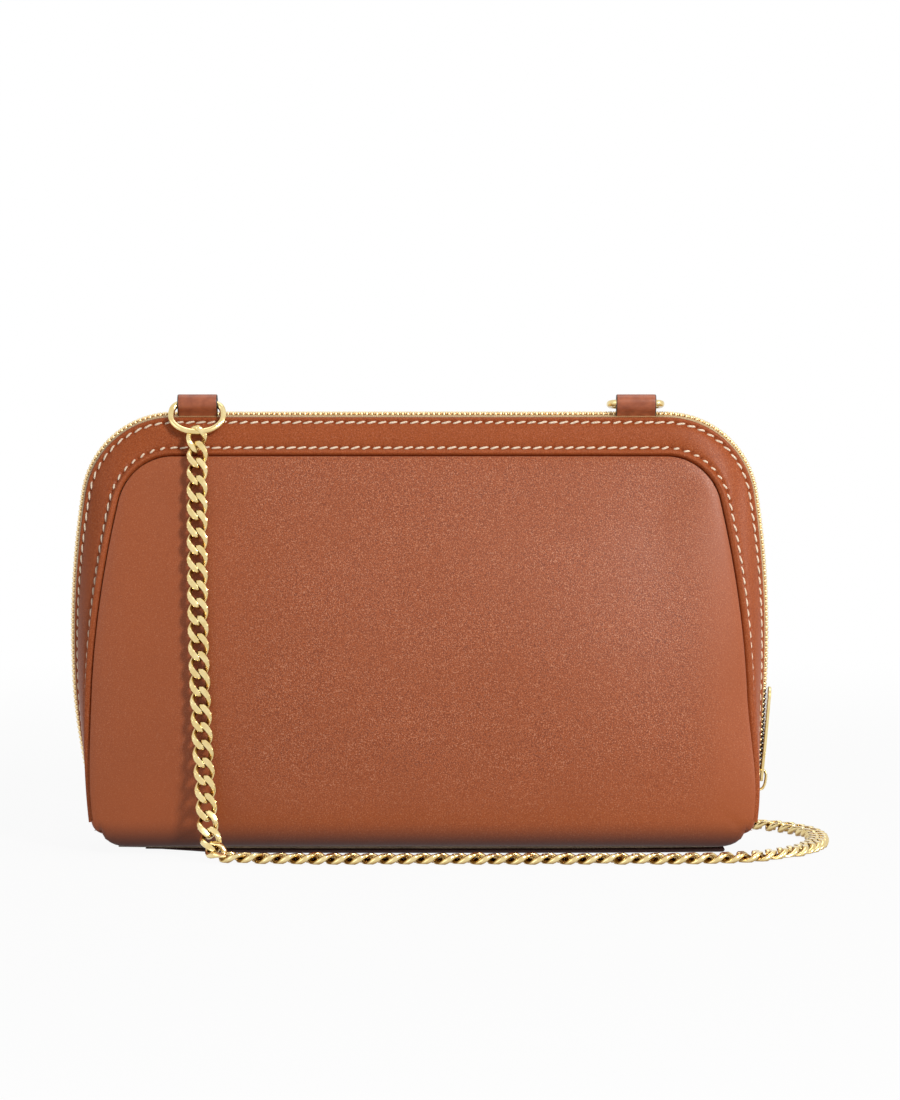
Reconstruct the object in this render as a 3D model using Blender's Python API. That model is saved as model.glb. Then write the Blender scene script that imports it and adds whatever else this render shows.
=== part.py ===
"""A small leather clutch that stands on its base, with a zip round its top and both sides and a
curb chain that runs from one top corner ring, down the front, round the right end and up the back
to the other ring.

Metres, +Z up. The origin is the middle of the flat underside of the base. The face with the two
tabs looks along -Y, and the zip lies in the plane y = 0.
"""

import math

import bmesh
import bpy
from mathutils import Matrix, Vector

# Outline of the zip, seen from the front
HALF_WIDTH = 0.1022
BODY_HEIGHT = 0.1282
SIDE_RADIUS = 0.270
SIDE_CENTRE_HEIGHT = 0.064
CORNER_RADIUS = 0.0265
BODY_FOOT = 0.0008
SIDE_LOW_HEIGHT = 0.0090

# Depth of each half, measured from the zip's plane
HALF_DEPTH = 0.0255
FACE_SHAPE_POWER = 3.5
FACE_MIDDLE_SHARE = 0.45
DEPTH_SHARES = (
    (0.0, 0.790),
    (0.05, 0.890),
    (0.12, 0.968),
    (0.22, 1.0),
    (0.35, 0.968),
    (0.50, 0.872),
    (0.655, 0.712),
    (0.78, 0.532),
    (0.858, 0.400),
    (0.909, 0.310),
    (1.0, 0.185),
)

# Leather, board and cloth
CLEARANCE = 0.0003
LAYER_GAP = 0.0005
BAND_WIDTH = 0.0117
BAND_THICKNESS = 0.0012
PANEL_THICKNESS = 0.0012
BOARD_THICKNESS = 0.0009
LINING_THICKNESS = 0.0005
TAPE_THICKNESS = 0.0005
PANEL_MARGIN = 0.0028
BAND_LEAN_TOP = math.radians(12)
BAND_LEAN_BASE = math.radians(95)
BAND_LEAN_POWER = 0.8
LINING_EDGE = 0.0062
LINING_EASE = 0.0003
LINING_LIFT = 0.0020
FACING_START = 0.0055
FACING_WIDTH = 0.0028
TAPE_END = 0.0082

# Zip
ZIP_MOUTH_HALF = 0.0048
TEETH_HALF_WIDTH = 0.0021
TEETH_GAP_HALF = 0.0006
TEETH_RISE = 0.0012
TEETH_THICKNESS = 0.0015
TAPE_TURN = 0.0005
ZIP_END_HEIGHT = 0.0160
STOP_LENGTH = 0.0024

# Slider and puller
SLIDER_HEIGHT_AT_REST = 0.0205
SLIDER_LENGTH = 0.0078
SLIDER_TOP_HALF_WIDTH = 0.0034
SLIDER_TOP_THICKNESS = 0.0008
SLIDER_FOOT_HALF_WIDTH = 0.0018
SLIDER_FOOT_THICKNESS = 0.0008
SLIDER_FOOT_DEPTH = 0.0024
SLIDER_FIN_THICKNESS = 0.0006
SLIDER_NOSE_SHARE = 0.62
BAIL_WIDTH = 0.0012
BAIL_LEG = 0.0008
BAIL_SPAN = 0.0060
PULLER_BAR = 0.0009
PULLER_ARM_HALF_WIDTH = 0.0021
PULLER_SLOT_HALF_WIDTH = 0.0009
PULLER_SLOT_LENGTH = 0.0042
PULLER_HALF_WIDTH = 0.0032
PULLER_LENGTH = 0.0280
PULLER_LEAN = math.radians(-1.5)

# Tabs and rings
TAB_INSET = 0.0374
TAB_WIDTH = 0.0118
TAB_LOOP_OUT = 0.0006
TAB_LOOP_RISE = 0.0042
TAB_WALL = 0.0010
TAB_TONGUE_LENGTH = 0.0050
TAB_TONGUE_THICKNESS = 0.0009
TAB_NECK = 0.0003
RING_WIRE = 0.0019
RING_HALF_WIDTH = 0.00765
RING_HEIGHT = 0.0100
RING_CORNER_HEIGHT = 0.0030
RING_CORNER_POWER = 0.35
RING_HOLE_CLEARANCE = 0.0005
LEFT_RING_LEAN = math.radians(31)
RIGHT_RING_LEAN = math.radians(-88)

# Chain
CHAIN_WIDTH = 0.0062
END_LINK_WIRE = 0.0015
END_LINK_LENGTH = 0.0070
END_LINK_TURN = math.radians(28)
LEFT_LINK_LEAN = 0.0
RIGHT_LINK_LEAN = math.radians(-76)
CHAIN_STEP = 0.0175
CHAIN_TURN = math.radians(24)
CHAIN_LEAD = 0.0020
CHAIN_SAMPLES = 24

# Base
BASE_HALF_WIDTH = 0.0915
BASE_THICKNESS = 0.0014
BASE_BOARD_HALF_WIDTH = 0.0890
BASE_BOARD_THICKNESS = 0.0012
BASE_LINING_THICKNESS = 0.0006
BASE_STEPS = 14
PANEL_FOOT = 0.0010
PANEL_HEM = 0.0018

# Slip pocket inside the far half
POCKET_HALF_WIDTH = 0.0680
POCKET_LOW = 0.0140
POCKET_HIGH = 0.0820
POCKET_EASE = 0.0006
POCKET_THICKNESS = 0.0006
POCKET_STEPS = 10

# Facets
SIDE_STEPS = 10
CORNER_STEPS = 6
TOP_STEPS = 6
BOTTOM_STEPS = 10
RING_STEPS = 26
HOLE_SIDES = 16
WIRE_SIDES = 8
FACE_SHARES = (0.97, 0.85, 0.62, 0.34)
SMOOTH_ANGLE = math.radians(40)

NEAR = -1
FAR = 1

# Route of the chain, from the left ring down the front and round to the right ring at the back.
# Each stretch goes on from the last point of the one before it.
CHAIN_ROUTE = (
    (
        "chain_front",
        (
            (-0.0653, -0.0119, 0.1156),
            (-0.0652, -0.0148, 0.1055),
            (-0.0650, -0.0194, 0.0880),
            (-0.0645, -0.0236, 0.0660),
            (-0.0637, -0.0262, 0.0450),
            (-0.0627, -0.0278, 0.0270),
            (-0.0619, -0.0296, 0.0150),
            (-0.0614, -0.0311, 0.0095),
        ),
    ),
    (
        "chain_floor",
        (
            (-0.0604, -0.0331, 0.0058),
            (-0.0583, -0.0358, 0.0036),
            (-0.0530, -0.0380, 0.0031),
            (-0.0400, -0.0395, 0.0031),
            (-0.0150, -0.0400, 0.0031),
            (0.0200, -0.0400, 0.0031),
            (0.0550, -0.0400, 0.0031),
            (0.0800, -0.0390, 0.0031),
            (0.0965, -0.0345, 0.0031),
            (0.1090, -0.0235, 0.0031),
            (0.1168, -0.0080, 0.0031),
            (0.1193, 0.0080, 0.0031),
            (0.1175, 0.0230, 0.0031),
            (0.1110, 0.0355, 0.0031),
            (0.1000, 0.0450, 0.0031),
            (0.0860, 0.0520, 0.0031),
            (0.0680, 0.0570, 0.0031),
            (0.0350, 0.0597, 0.0031),
            (-0.0100, 0.0600, 0.0031),
            (-0.0400, 0.0600, 0.0031),
        ),
    ),
    (
        "chain_back",
        (
            (-0.0600, 0.0600, 0.0031),
            (-0.0760, 0.0594, 0.0031),
            (-0.0865, 0.0545, 0.0031),
            (-0.0905, 0.0462, 0.0031),
            (-0.0865, 0.0380, 0.0031),
            (-0.0760, 0.0336, 0.0031),
            (-0.0600, 0.0330, 0.0031),
            (-0.0350, 0.0330, 0.0031),
            (-0.0050, 0.0330, 0.0031),
            (0.0250, 0.0330, 0.0031),
            (0.0450, 0.0330, 0.0031),
        ),
    ),
    (
        "chain_rise",
        (
            (0.0560, 0.0328, 0.0034),
            (0.0615, 0.0318, 0.0056),
            (0.0638, 0.0306, 0.0105),
            (0.0643, 0.0296, 0.0200),
            (0.0645, 0.0286, 0.0400),
            (0.0647, 0.0264, 0.0600),
            (0.0649, 0.0228, 0.0800),
            (0.0650, 0.0186, 0.0980),
            (0.0650, 0.0156, 0.1110),
            (0.0650, 0.0130, 0.1210),
            (0.0650, 0.0118, 0.1290),
        ),
    ),
)


def clear_scene():
    """Remove whatever the scene starts with."""
    for old in list(bpy.data.objects):
        bpy.data.objects.remove(old, do_unlink=True)


def make_material(name, colour, roughness, metallic):
    """A Principled material of one colour."""
    material = bpy.data.materials.new(name)
    material.use_nodes = True
    shader = material.node_tree.nodes["Principled BSDF"]
    shader.inputs["Base Color"].default_value = (*colour, 1.0)
    shader.inputs["Roughness"].default_value = roughness
    shader.inputs["Metallic"].default_value = metallic
    return material


def make_object(name, points, faces, material, origin=(0.0, 0.0, 0.0), parent=None):
    """A closed mesh object with its faces out, its origin at the given world point."""
    start = Vector(origin)
    mesh = bpy.data.meshes.new(name)
    mesh.from_pydata([Vector(point) - start for point in points], [], faces)
    work = bmesh.new()
    work.from_mesh(mesh)
    bmesh.ops.recalc_face_normals(work, faces=work.faces[:])
    work.to_mesh(mesh)
    work.free()
    mesh.shade_smooth()
    mesh.set_sharp_from_angle(angle=SMOOTH_ANGLE)
    mesh.materials.append(material)
    made = bpy.data.objects.new(name, mesh)
    bpy.context.scene.collection.objects.link(made)
    made.location = start
    if parent is not None:
        made.parent = parent
        made.matrix_parent_inverse = parent.matrix_world.inverted()
    return made


def make_empty(name, place):
    """An empty that marks a joint's axis."""
    empty = bpy.data.objects.new(name, None)
    bpy.context.scene.collection.objects.link(empty)
    empty.location = place
    bpy.context.view_layer.update()
    return empty


def between(table, share):
    """Read a table of (share, value) pairs as one smooth curve."""
    last = len(table) - 1
    step = next((i for i in range(last) if share <= table[i + 1][0]), last - 1)
    before = table[max(step - 1, 0)]
    low, high = table[step], table[step + 1]
    after = table[min(step + 2, last)]
    span = high[0] - low[0]
    t = min(max((share - low[0]) / span, 0.0), 1.0)
    slope_low = (high[1] - before[1]) / (high[0] - before[0]) * span
    slope_high = (after[1] - low[1]) / (after[0] - low[0]) * span
    cube, square = t**3, t**2
    return (
        low[1] * (2 * cube - 3 * square + 1)
        + slope_low * (cube - 2 * square + t)
        + high[1] * (3 * square - 2 * cube)
        + slope_high * (cube - square)
    )


def side_centre():
    """Middle of the arc that the right side of the zip follows."""
    return HALF_WIDTH - SIDE_RADIUS, SIDE_CENTRE_HEIGHT


def side_angle(height):
    """Angle on the side arc at a height."""
    return math.asin((height - SIDE_CENTRE_HEIGHT) / SIDE_RADIUS)


def corner_place():
    """Middle of the top corner's arc, and the angle where it meets the side arc."""
    rise = BODY_HEIGHT - CORNER_RADIUS - SIDE_CENTRE_HEIGHT
    reach = math.sqrt((SIDE_RADIUS - CORNER_RADIUS) ** 2 - rise**2)
    return side_centre()[0] + reach, BODY_HEIGHT - CORNER_RADIUS, math.atan2(rise, reach)


def side_angles(foot):
    """Angles up the side arc: the foot's own, then those above it that every layer shares."""
    start, low, meet = side_angle(foot), side_angle(SIDE_LOW_HEIGHT), corner_place()[2]
    shared = [low + (meet - low) * i / SIDE_STEPS for i in range(SIDE_STEPS)]
    return [start] + [angle for angle in shared if angle > start]


def half_outline(foot):
    """Stations (x, z, inward x, inward z) up the right side and along to the middle of the top."""
    centre_x, centre_z = side_centre()
    corner_x, corner_z, meet = corner_place()
    stations = []
    for angle in side_angles(foot):
        x = centre_x + SIDE_RADIUS * math.cos(angle)
        z = centre_z + SIDE_RADIUS * math.sin(angle)
        stations.append((x, z, -math.cos(angle), -math.sin(angle)))
    for i in range(CORNER_STEPS):
        angle = meet + (math.pi / 2 - meet) * i / CORNER_STEPS
        x = corner_x + CORNER_RADIUS * math.cos(angle)
        z = corner_z + CORNER_RADIUS * math.sin(angle)
        stations.append((x, z, -math.cos(angle), -math.sin(angle)))
    for i in range(TOP_STEPS // 2):
        stations.append((corner_x * (1 - 2 * i / TOP_STEPS), BODY_HEIGHT, 0.0, -1.0))
    return stations


def outline(foot):
    """Stations of the zip's whole line, from the foot of the left side over to the right."""
    right = half_outline(foot)
    left = [(-x, z, -nx, nz) for x, z, nx, nz in right]
    return left + [(0.0, BODY_HEIGHT, 0.0, -1.0)] + right[::-1]


def band_lean(height):
    """How far the band turns from facing front, at the top, to just past sideways, at the foot."""
    share = max(1 - height / BODY_HEIGHT, 0.0) ** BAND_LEAN_POWER
    return BAND_LEAN_TOP + (BAND_LEAN_BASE - BAND_LEAN_TOP) * share


def band_point(station, side, along, depth):
    """A point under the band: along its width from the zip edge, and deep below its surface."""
    x, z, inward_x, inward_z = station
    lean = band_lean(z)
    inward = along * math.cos(lean) + depth * math.sin(lean)
    across = ZIP_MOUTH_HALF + along * math.sin(lean) - depth * math.cos(lean)
    return Vector((x + inward_x * inward, side * across, z + inward_z * inward))


def mouth_point(station, side, inward, across):
    """A point of the zip's section: inward from its outline, across from its middle plane."""
    x, z, inward_x, inward_z = station
    return Vector((x + inward_x * inward, side * across, z + inward_z * inward))


def edge_half_width(height):
    """Half the width of the face between the bands at a height, leaving out the round corners."""
    reach = math.sqrt(SIDE_RADIUS**2 - (height - SIDE_CENTRE_HEIGHT) ** 2)
    return side_centre()[0] + reach - BAND_WIDTH * math.cos(band_lean(height))


def edge_depth(height):
    """Depth of the face where it goes under the band."""
    under = BAND_THICKNESS + LAYER_GAP
    lean = band_lean(height)
    return ZIP_MOUTH_HALF + BAND_WIDTH * math.sin(lean) - under * math.cos(lean)


def face_depth(x, height):
    """Depth of the outer face from the zip's plane."""
    low = max(height, 0.0)
    middle = HALF_DEPTH * between(DEPTH_SHARES, low / BODY_HEIGHT)
    share = min(abs(x) / edge_half_width(low), 1.0) ** FACE_SHAPE_POWER
    return middle * (1 - share) + edge_depth(low) * share


def face_point(x, height, side, deep):
    """A point of the face, sunk by some depth square to its surface."""
    step = CLEARANCE
    slope_x = (face_depth(x + step, height) - face_depth(x - step, height)) / (2 * step)
    slope_z = (face_depth(x, height + step) - face_depth(x, height - step)) / (2 * step)
    inward = Vector((slope_x, 1.0, slope_z)).normalized() * deep
    place = Vector((x, -face_depth(x, height), height)) + inward
    return Vector((place.x, -side * place.y, place.z))


def ring_faces(count, steps, closed=False):
    """Quads between successive loops of points, with caps unless the path is closed."""
    faces = []
    for i in range(steps if closed else steps - 1):
        here, there = i * count, ((i + 1) % steps) * count
        for k in range(count):
            n = (k + 1) % count
            faces.append((here + k, here + n, there + n, there + k))
    if not closed:
        faces.append(tuple(range(count)))
        faces.append(tuple((steps - 1) * count + k for k in range(count)))
    return faces


def loft(name, sections, material, closed=False, origin=(0.0, 0.0, 0.0), parent=None):
    """A solid through sections that have the same number of points."""
    points = [point for section in sections for point in section]
    faces = ring_faces(len(sections[0]), len(sections), closed)
    return make_object(name, points, faces, material, origin, parent)


def prism(name, outline_points, low, high, material):
    """A flat solid between two heights."""
    sections = [[(x, y, z) for x, y in outline_points] for z in (low, high)]
    return loft(name, sections, material)


def strip(name, foot, side, corners, material):
    """A strip that follows the zip's line, with one section given as places under the band."""
    sections = []
    for station in outline(foot):
        sections.append([band_point(station, side, *corner) for corner in corners])
    return loft(name, sections, material)


def turned_point(station, side, deep):
    """The point where a layer of the face, some depth below it, turns under the band."""
    back = deep * math.tan(band_lean(station[1]) / 2)
    return band_point(station, side, BAND_WIDTH - back, BAND_THICKNESS + LAYER_GAP + deep)


def bottom_stations(foot):
    """Places along the lower edge of a face, from right to left, between its two corners."""
    reach = edge_half_width(foot)
    return [reach * math.cos(math.pi * i / BOTTOM_STEPS) for i in range(1, BOTTOM_STEPS)]


def face_rows(side, deep, foot, margin):
    """Rows of points over one face, from its hidden margin to its middle."""
    path = outline(foot)
    depth = BAND_THICKNESS + LAYER_GAP + deep
    lower = bottom_stations(foot)
    hidden = [band_point(station, side, BAND_WIDTH - margin, depth) for station in path]
    edge = [turned_point(station, side, deep) for station in path]
    rows = [
        hidden + [face_point(x, foot, side, deep) for x in lower],
        edge + [face_point(x, foot + PANEL_HEM, side, deep) for x in lower],
    ]
    rim = [(point.x, point.z) for point in edge] + [(x, foot + PANEL_HEM) for x in lower]
    middle = FACE_MIDDLE_SHARE * BODY_HEIGHT
    for share in FACE_SHARES:
        row = []
        for x, z in rim:
            row.append(face_point(x * share, middle + (z - middle) * share, side, deep))
        rows.append(row)
    return rows, face_point(0.0, middle, side, deep)


def face_shell(name, side, deep, thickness, foot, margin, material):
    """One curved layer of a half, closed all round."""
    points, faces = [], []
    skins = []
    for level in (deep, deep + thickness):
        rows, centre = face_rows(side, level, foot, margin)
        first = len(points)
        for row in rows:
            points.extend(row)
        points.append(centre)
        skins.append((first, len(points) - 1))
        count = len(rows[0])
        for r in range(len(rows) - 1):
            here, there = first + r * count, first + (r + 1) * count
            for k in range(count):
                n = (k + 1) % count
                faces.append((here + k, here + n, there + n, there + k))
        last = first + (len(rows) - 1) * count
        for k in range(count):
            faces.append((last + k, last + (k + 1) % count, len(points) - 1))
    outer, inner = skins[0][0], skins[1][0]
    for k in range(count):
        n = (k + 1) % count
        faces.append((outer + k, outer + n, inner + n, inner + k))
    return make_object(name, points, faces, material)


def base_height():
    """Height of the top of the base, with its board and its lining."""
    return BASE_THICKNESS + BASE_BOARD_THICKNESS + BASE_LINING_THICKNESS + 2 * CLEARANCE


def make_halves(leather, board, lining):
    """Leather face, board and lining of both halves."""
    board_depth = PANEL_THICKNESS + LAYER_GAP
    lining_depth = board_depth + BOARD_THICKNESS + LAYER_GAP + LINING_EASE
    inner_foot = base_height() + LAYER_GAP
    lining_foot = inner_foot + LINING_LIFT
    lining_margin = BAND_WIDTH - LINING_EDGE
    for word, side in (("near", NEAR), ("far", FAR)):
        face_shell(f"{word}_panel", side, 0.0, PANEL_THICKNESS, PANEL_FOOT, PANEL_MARGIN, leather)
        face_shell(
            f"{word}_board", side, board_depth, BOARD_THICKNESS, inner_foot, PANEL_MARGIN, board
        )
        face_shell(
            f"{word}_lining", side, lining_depth, LINING_THICKNESS, lining_foot, lining_margin, lining
        )


def make_bands(leather, board):
    """The facing bands beside the zip, each with a strip of board under its stitched edge."""
    facing_depth = BAND_THICKNESS + LAYER_GAP
    facing_end = FACING_START + FACING_WIDTH
    for word, side in (("near", NEAR), ("far", FAR)):
        band = (
            (0.0, 0.0),
            (BAND_WIDTH / 2, 0.0),
            (BAND_WIDTH, 0.0),
            (BAND_WIDTH, BAND_THICKNESS),
            (BAND_WIDTH / 2, BAND_THICKNESS),
            (0.0, BAND_THICKNESS),
        )
        strip(f"{word}_band", BODY_FOOT, side, band, leather)
        facing = (
            (FACING_START, facing_depth),
            (facing_end, facing_depth),
            (facing_end, facing_depth + BOARD_THICKNESS),
            (FACING_START, facing_depth + BOARD_THICKNESS),
        )
        strip(f"{word}_band_board", PANEL_FOOT, side, facing, board)


def tape_depth():
    """Depth of the zip tape's upper side under the band's surface."""
    return BAND_THICKNESS + BOARD_THICKNESS + 2 * LAYER_GAP


def make_zip(tape, metal):
    """Tape and teeth of each half, and the stops at the ends of the teeth."""
    tape_top = TEETH_THICKNESS - TEETH_RISE + CLEARANCE
    deep = tape_depth()
    for word, side in (("near", NEAR), ("far", FAR)):
        tapes, teeth = [], []
        for station in outline(BODY_FOOT):
            tapes.append(
                [
                    mouth_point(station, side, tape_top, TEETH_GAP_HALF),
                    band_point(station, side, TAPE_TURN, deep),
                    band_point(station, side, TAPE_END, deep),
                    band_point(station, side, TAPE_END, deep + TAPE_THICKNESS),
                    band_point(station, side, TAPE_TURN, deep + TAPE_THICKNESS),
                    mouth_point(station, side, tape_top + TAPE_THICKNESS, TEETH_GAP_HALF),
                ]
            )
        loft(f"{word}_zip_tape", tapes, tape)
        low = TEETH_THICKNESS - TEETH_RISE
        for station in outline(ZIP_END_HEIGHT):
            teeth.append(
                [
                    mouth_point(station, side, -TEETH_RISE, TEETH_GAP_HALF),
                    mouth_point(station, side, -TEETH_RISE, TEETH_HALF_WIDTH),
                    mouth_point(station, side, low, TEETH_HALF_WIDTH),
                    mouth_point(station, side, low, TEETH_GAP_HALF),
                ]
            )
        loft(f"{word}_zip_teeth", teeth, metal)
        make_stop(f"{word}_zip_top_stop", 1, side * TEETH_GAP_HALF, side * TEETH_HALF_WIDTH, metal)
    make_stop("zip_bottom_stop", -1, -TEETH_HALF_WIDTH, TEETH_HALF_WIDTH, metal)


def make_stop(name, end, low_y, high_y, metal):
    """A small metal clip below the teeth on the left (-1) or the right (1) side."""
    high = ZIP_END_HEIGHT - 2 * CLEARANCE
    sections = []
    for height in (high - STOP_LENGTH, high):
        angle = side_angle(height)
        reach = side_centre()[0] + SIDE_RADIUS * math.cos(angle)
        out = reach + TEETH_RISE
        low = reach + TEETH_RISE - TEETH_THICKNESS
        sections.append([(end * x, y, height) for x, y in (
            (low, low_y), (out, low_y), (out, high_y), (low, high_y)
        )])
    return loft(name, sections, metal)


def slider_place():
    """Matrix that puts the slider's own frame (out, across, up) on the side arc."""
    centre_x, centre_z = side_centre()
    turn = Matrix.Rotation(-side_angle(SLIDER_HEIGHT_AT_REST), 4, "Y")
    reach = Matrix.Translation((SIDE_RADIUS, 0.0, 0.0))
    return Matrix.Translation((centre_x, 0.0, centre_z)) @ turn @ reach


def puller_pivot():
    """Height of the puller's bar over the outline, in the slider's own frame."""
    plate = TEETH_RISE + CLEARANCE + SLIDER_TOP_THICKNESS
    return plate + CLEARANCE + PULLER_BAR / 2


def make_slider(metal):
    """Slider body: a plate over the teeth and a foot under the tape, joined by a thin fin."""
    centre_x, centre_z = side_centre()
    axis = make_empty("slider_arc_axis", (centre_x, 0.0, centre_z))
    plate_low = TEETH_RISE + CLEARANCE
    plate_high = plate_low + SLIDER_TOP_THICKNESS
    foot_high = -SLIDER_FOOT_DEPTH
    foot_low = foot_high - SLIDER_FOOT_THICKNESS
    fin = SLIDER_FIN_THICKNESS / 2
    place = slider_place()
    sections = []
    for share, width in ((-1.0, SLIDER_NOSE_SHARE), (-0.4, 1.0), (0.6, 1.0), (1.0, SLIDER_NOSE_SHARE)):
        up = share * SLIDER_LENGTH / 2
        top = SLIDER_TOP_HALF_WIDTH * width
        foot = SLIDER_FOOT_HALF_WIDTH * width
        half = [
            (plate_high, top),
            (plate_low, top),
            (plate_low, fin),
            (foot_high, fin),
            (foot_high, foot),
            (foot_low, foot),
        ]
        section = half + [(out, -across) for out, across in half[::-1]]
        sections.append([place @ Vector((out, across, up)) for out, across in section])
    loft("zip_slider", sections, metal, origin=axis.location, parent=axis)
    pivot = puller_pivot()
    inner = pivot + PULLER_BAR / 2 + CLEARANCE
    start = plate_high + CLEARANCE
    reach = BAIL_SPAN / 2
    arch = [
        (start, -reach),
        (inner, -reach),
        (inner + BAIL_LEG, -reach + BAIL_LEG),
        (inner + BAIL_LEG, reach - BAIL_LEG),
        (inner, reach),
        (start, reach),
        (start, reach - BAIL_LEG),
        (inner, reach - BAIL_LEG),
        (inner, -reach + BAIL_LEG),
        (start, -reach + BAIL_LEG),
    ]
    sides = []
    for across in (-BAIL_WIDTH / 2, BAIL_WIDTH / 2):
        sides.append([place @ Vector((out, across, up)) for out, up in arch])
    loft("slider_bail", sides, metal, origin=axis.location, parent=axis)


def make_puller(metal):
    """Flat zip puller, slotted over the bail, with its origin on the bar it turns on."""
    place = slider_place() @ Matrix.Translation((puller_pivot(), 0.0, 0.0))
    place = place @ Matrix.Rotation(PULLER_LEAN, 4, "Y")
    shoulder = PULLER_SLOT_LENGTH + PULLER_BAR / 2
    neck = shoulder + PULLER_ARM_HALF_WIDTH
    tip = PULLER_LENGTH - PULLER_HALF_WIDTH / 2
    half = [
        (PULLER_ARM_HALF_WIDTH, -PULLER_BAR / 2),
        (PULLER_ARM_HALF_WIDTH, shoulder),
        (PULLER_HALF_WIDTH, neck),
        (PULLER_HALF_WIDTH, tip),
        (PULLER_HALF_WIDTH / 2, PULLER_LENGTH),
    ]
    rim = half + [(-across, up) for across, up in half[::-1]]
    sections = []
    for out in (-PULLER_BAR / 2, PULLER_BAR / 2):
        sections.append([place @ Vector((out, across, up)) for across, up in rim])
    puller = loft("zip_puller", sections, metal, origin=place.translation)
    slot = []
    for out in (-PULLER_BAR, PULLER_BAR):
        corners = (
            (-PULLER_SLOT_HALF_WIDTH, PULLER_BAR / 2),
            (PULLER_SLOT_HALF_WIDTH, PULLER_BAR / 2),
            (PULLER_SLOT_HALF_WIDTH, shoulder),
            (-PULLER_SLOT_HALF_WIDTH, shoulder),
        )
        slot.append([place @ Vector((out, across, up)) for across, up in corners])
    cut_hole(puller, slot, metal)


def ring_axis(centre):
    """Middle of the ring's straight bar in its tab's loop."""
    return Vector((centre, -ZIP_MOUTH_HALF + TAB_LOOP_OUT, BODY_HEIGHT + TAB_LOOP_RISE))


def make_tab(name, centre, leather):
    """A folded leather tab: a loop round the ring's bar over a tongue behind the near band."""
    axis = ring_axis(centre)
    hole = RING_WIRE / 2 + RING_HOLE_CLEARANCE
    outer = hole + TAB_WALL
    station = (centre, BODY_HEIGHT, 0.0, -1.0)
    front = BAND_THICKNESS + CLEARANCE
    back = front + TAB_TONGUE_THICKNESS
    turns = [math.radians(40 + 35 * i) for i in range(9)]
    rim = [(axis.y - outer * math.sin(a), axis.z - outer * math.cos(a)) for a in turns]
    for along, depth in (
        (-TAB_NECK, back),
        (TAB_TONGUE_LENGTH, back),
        (TAB_TONGUE_LENGTH, front),
        (-TAB_NECK, front),
    ):
        point = band_point(station, NEAR, along, depth)
        rim.append((point.y, point.z))
    reach = TAB_WIDTH / 2
    tab = loft(name, [[(centre + x, y, z) for y, z in rim] for x in (-reach, reach)], leather)
    sides = [2 * math.pi * i / HOLE_SIDES for i in range(HOLE_SIDES)]
    bore = [(axis.y + hole * math.cos(a), axis.z + hole * math.sin(a)) for a in sides]
    ends = (-TAB_WIDTH, TAB_WIDTH)
    cut_hole(tab, [[(centre + x, y, z) for y, z in bore] for x in ends], leather)


def cut_hole(piece, sections, material):
    """Cut a solid through the given sections out of a piece."""
    cutter = loft(f"{piece.name}_cutter", sections, material)
    cutter.hide_render = True
    cutter.display_type = "WIRE"
    cut = piece.modifiers.new("hole", "BOOLEAN")
    cut.operation = "DIFFERENCE"
    cut.solver = "EXACT"
    cut.object = cutter


def wire_loop(name, path, radius, metal, origin):
    """A closed wire through a list of points."""
    count = len(path)
    normal = Vector((0.0, 0.0, 0.0))
    for i in range(count):
        normal += path[i].cross(path[(i + 1) % count])
    normal.normalize()
    sections = []
    for i in range(count):
        along = (path[(i + 1) % count] - path[i - 1]).normalized()
        out = along.cross(normal).normalized()
        section = []
        for k in range(WIRE_SIDES):
            turn = 2 * math.pi * k / WIRE_SIDES
            offset = out * math.cos(turn) + normal * math.sin(turn)
            section.append(origin + path[i] + offset * radius)
        sections.append(section)
    loft(name, sections, metal, closed=True, origin=origin)


def ring_down(lean):
    """Direction from a ring's bar to its far side: straight down, leaning out by an angle."""
    return Vector((0.0, -math.sin(lean), -math.cos(lean)))


def make_ring(name, centre, down, metal):
    """A D ring, its straight bar on the axis that it swings about."""
    path = []
    for i in range(RING_STEPS):
        turn = 2 * math.pi * (i + 0.5) / RING_STEPS
        out, up = math.cos(turn), math.sin(turn)
        if up > 0:
            wide = math.copysign(abs(out) ** RING_CORNER_POWER, out)
            drop = RING_CORNER_HEIGHT * (1 - up**RING_CORNER_POWER)
        else:
            wide = out
            drop = RING_CORNER_HEIGHT - (RING_HEIGHT - RING_CORNER_HEIGHT) * up
        path.append(Vector((RING_HALF_WIDTH * wide, 0.0, 0.0)) + down * drop)
    wire_loop(name, path, RING_WIRE / 2, metal, ring_axis(centre))


def make_end_link(name, centre, down, along, metal):
    """The link that hooks the chain's end round the far side of a ring."""
    radius = (CHAIN_WIDTH - END_LINK_WIRE) / 2
    straight = END_LINK_LENGTH - 2 * radius
    hook = RING_WIRE / 2 + END_LINK_WIRE / 2 + CLEARANCE
    across = along.cross(Vector((1.0, 0.0, 0.0)))
    wide = across * math.cos(END_LINK_TURN) + Vector((1.0, 0.0, 0.0)) * math.sin(END_LINK_TURN)
    middle = down * RING_HEIGHT + along * (END_LINK_LENGTH / 2 - hook)
    path = []
    steps = RING_STEPS // 2
    for end in (1, -1):
        for i in range(steps // 2 + 1):
            turn = math.pi * i / (steps // 2)
            reach = straight / 2 + radius * math.sin(turn)
            path.append(middle + end * (along * reach + wide * radius * math.cos(turn)))
    wire_loop(name, path, END_LINK_WIRE / 2, metal, ring_axis(centre))


def curve_point(route, place):
    """A point of the smooth curve through a route's points."""
    last = len(route) - 1
    step = min(int(place), last - 1)
    t = place - step
    low, high = Vector(route[step]), Vector(route[step + 1])
    before = Vector(route[step - 1]) if step else 2 * low - high
    after = Vector(route[step + 2]) if step + 2 <= last else 2 * high - low
    return 0.5 * (
        2 * low
        + (high - before) * t
        + (2 * before - 5 * low + 4 * high - after) * t**2
        + (3 * low - before - 3 * high + after) * t**3
    )


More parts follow.
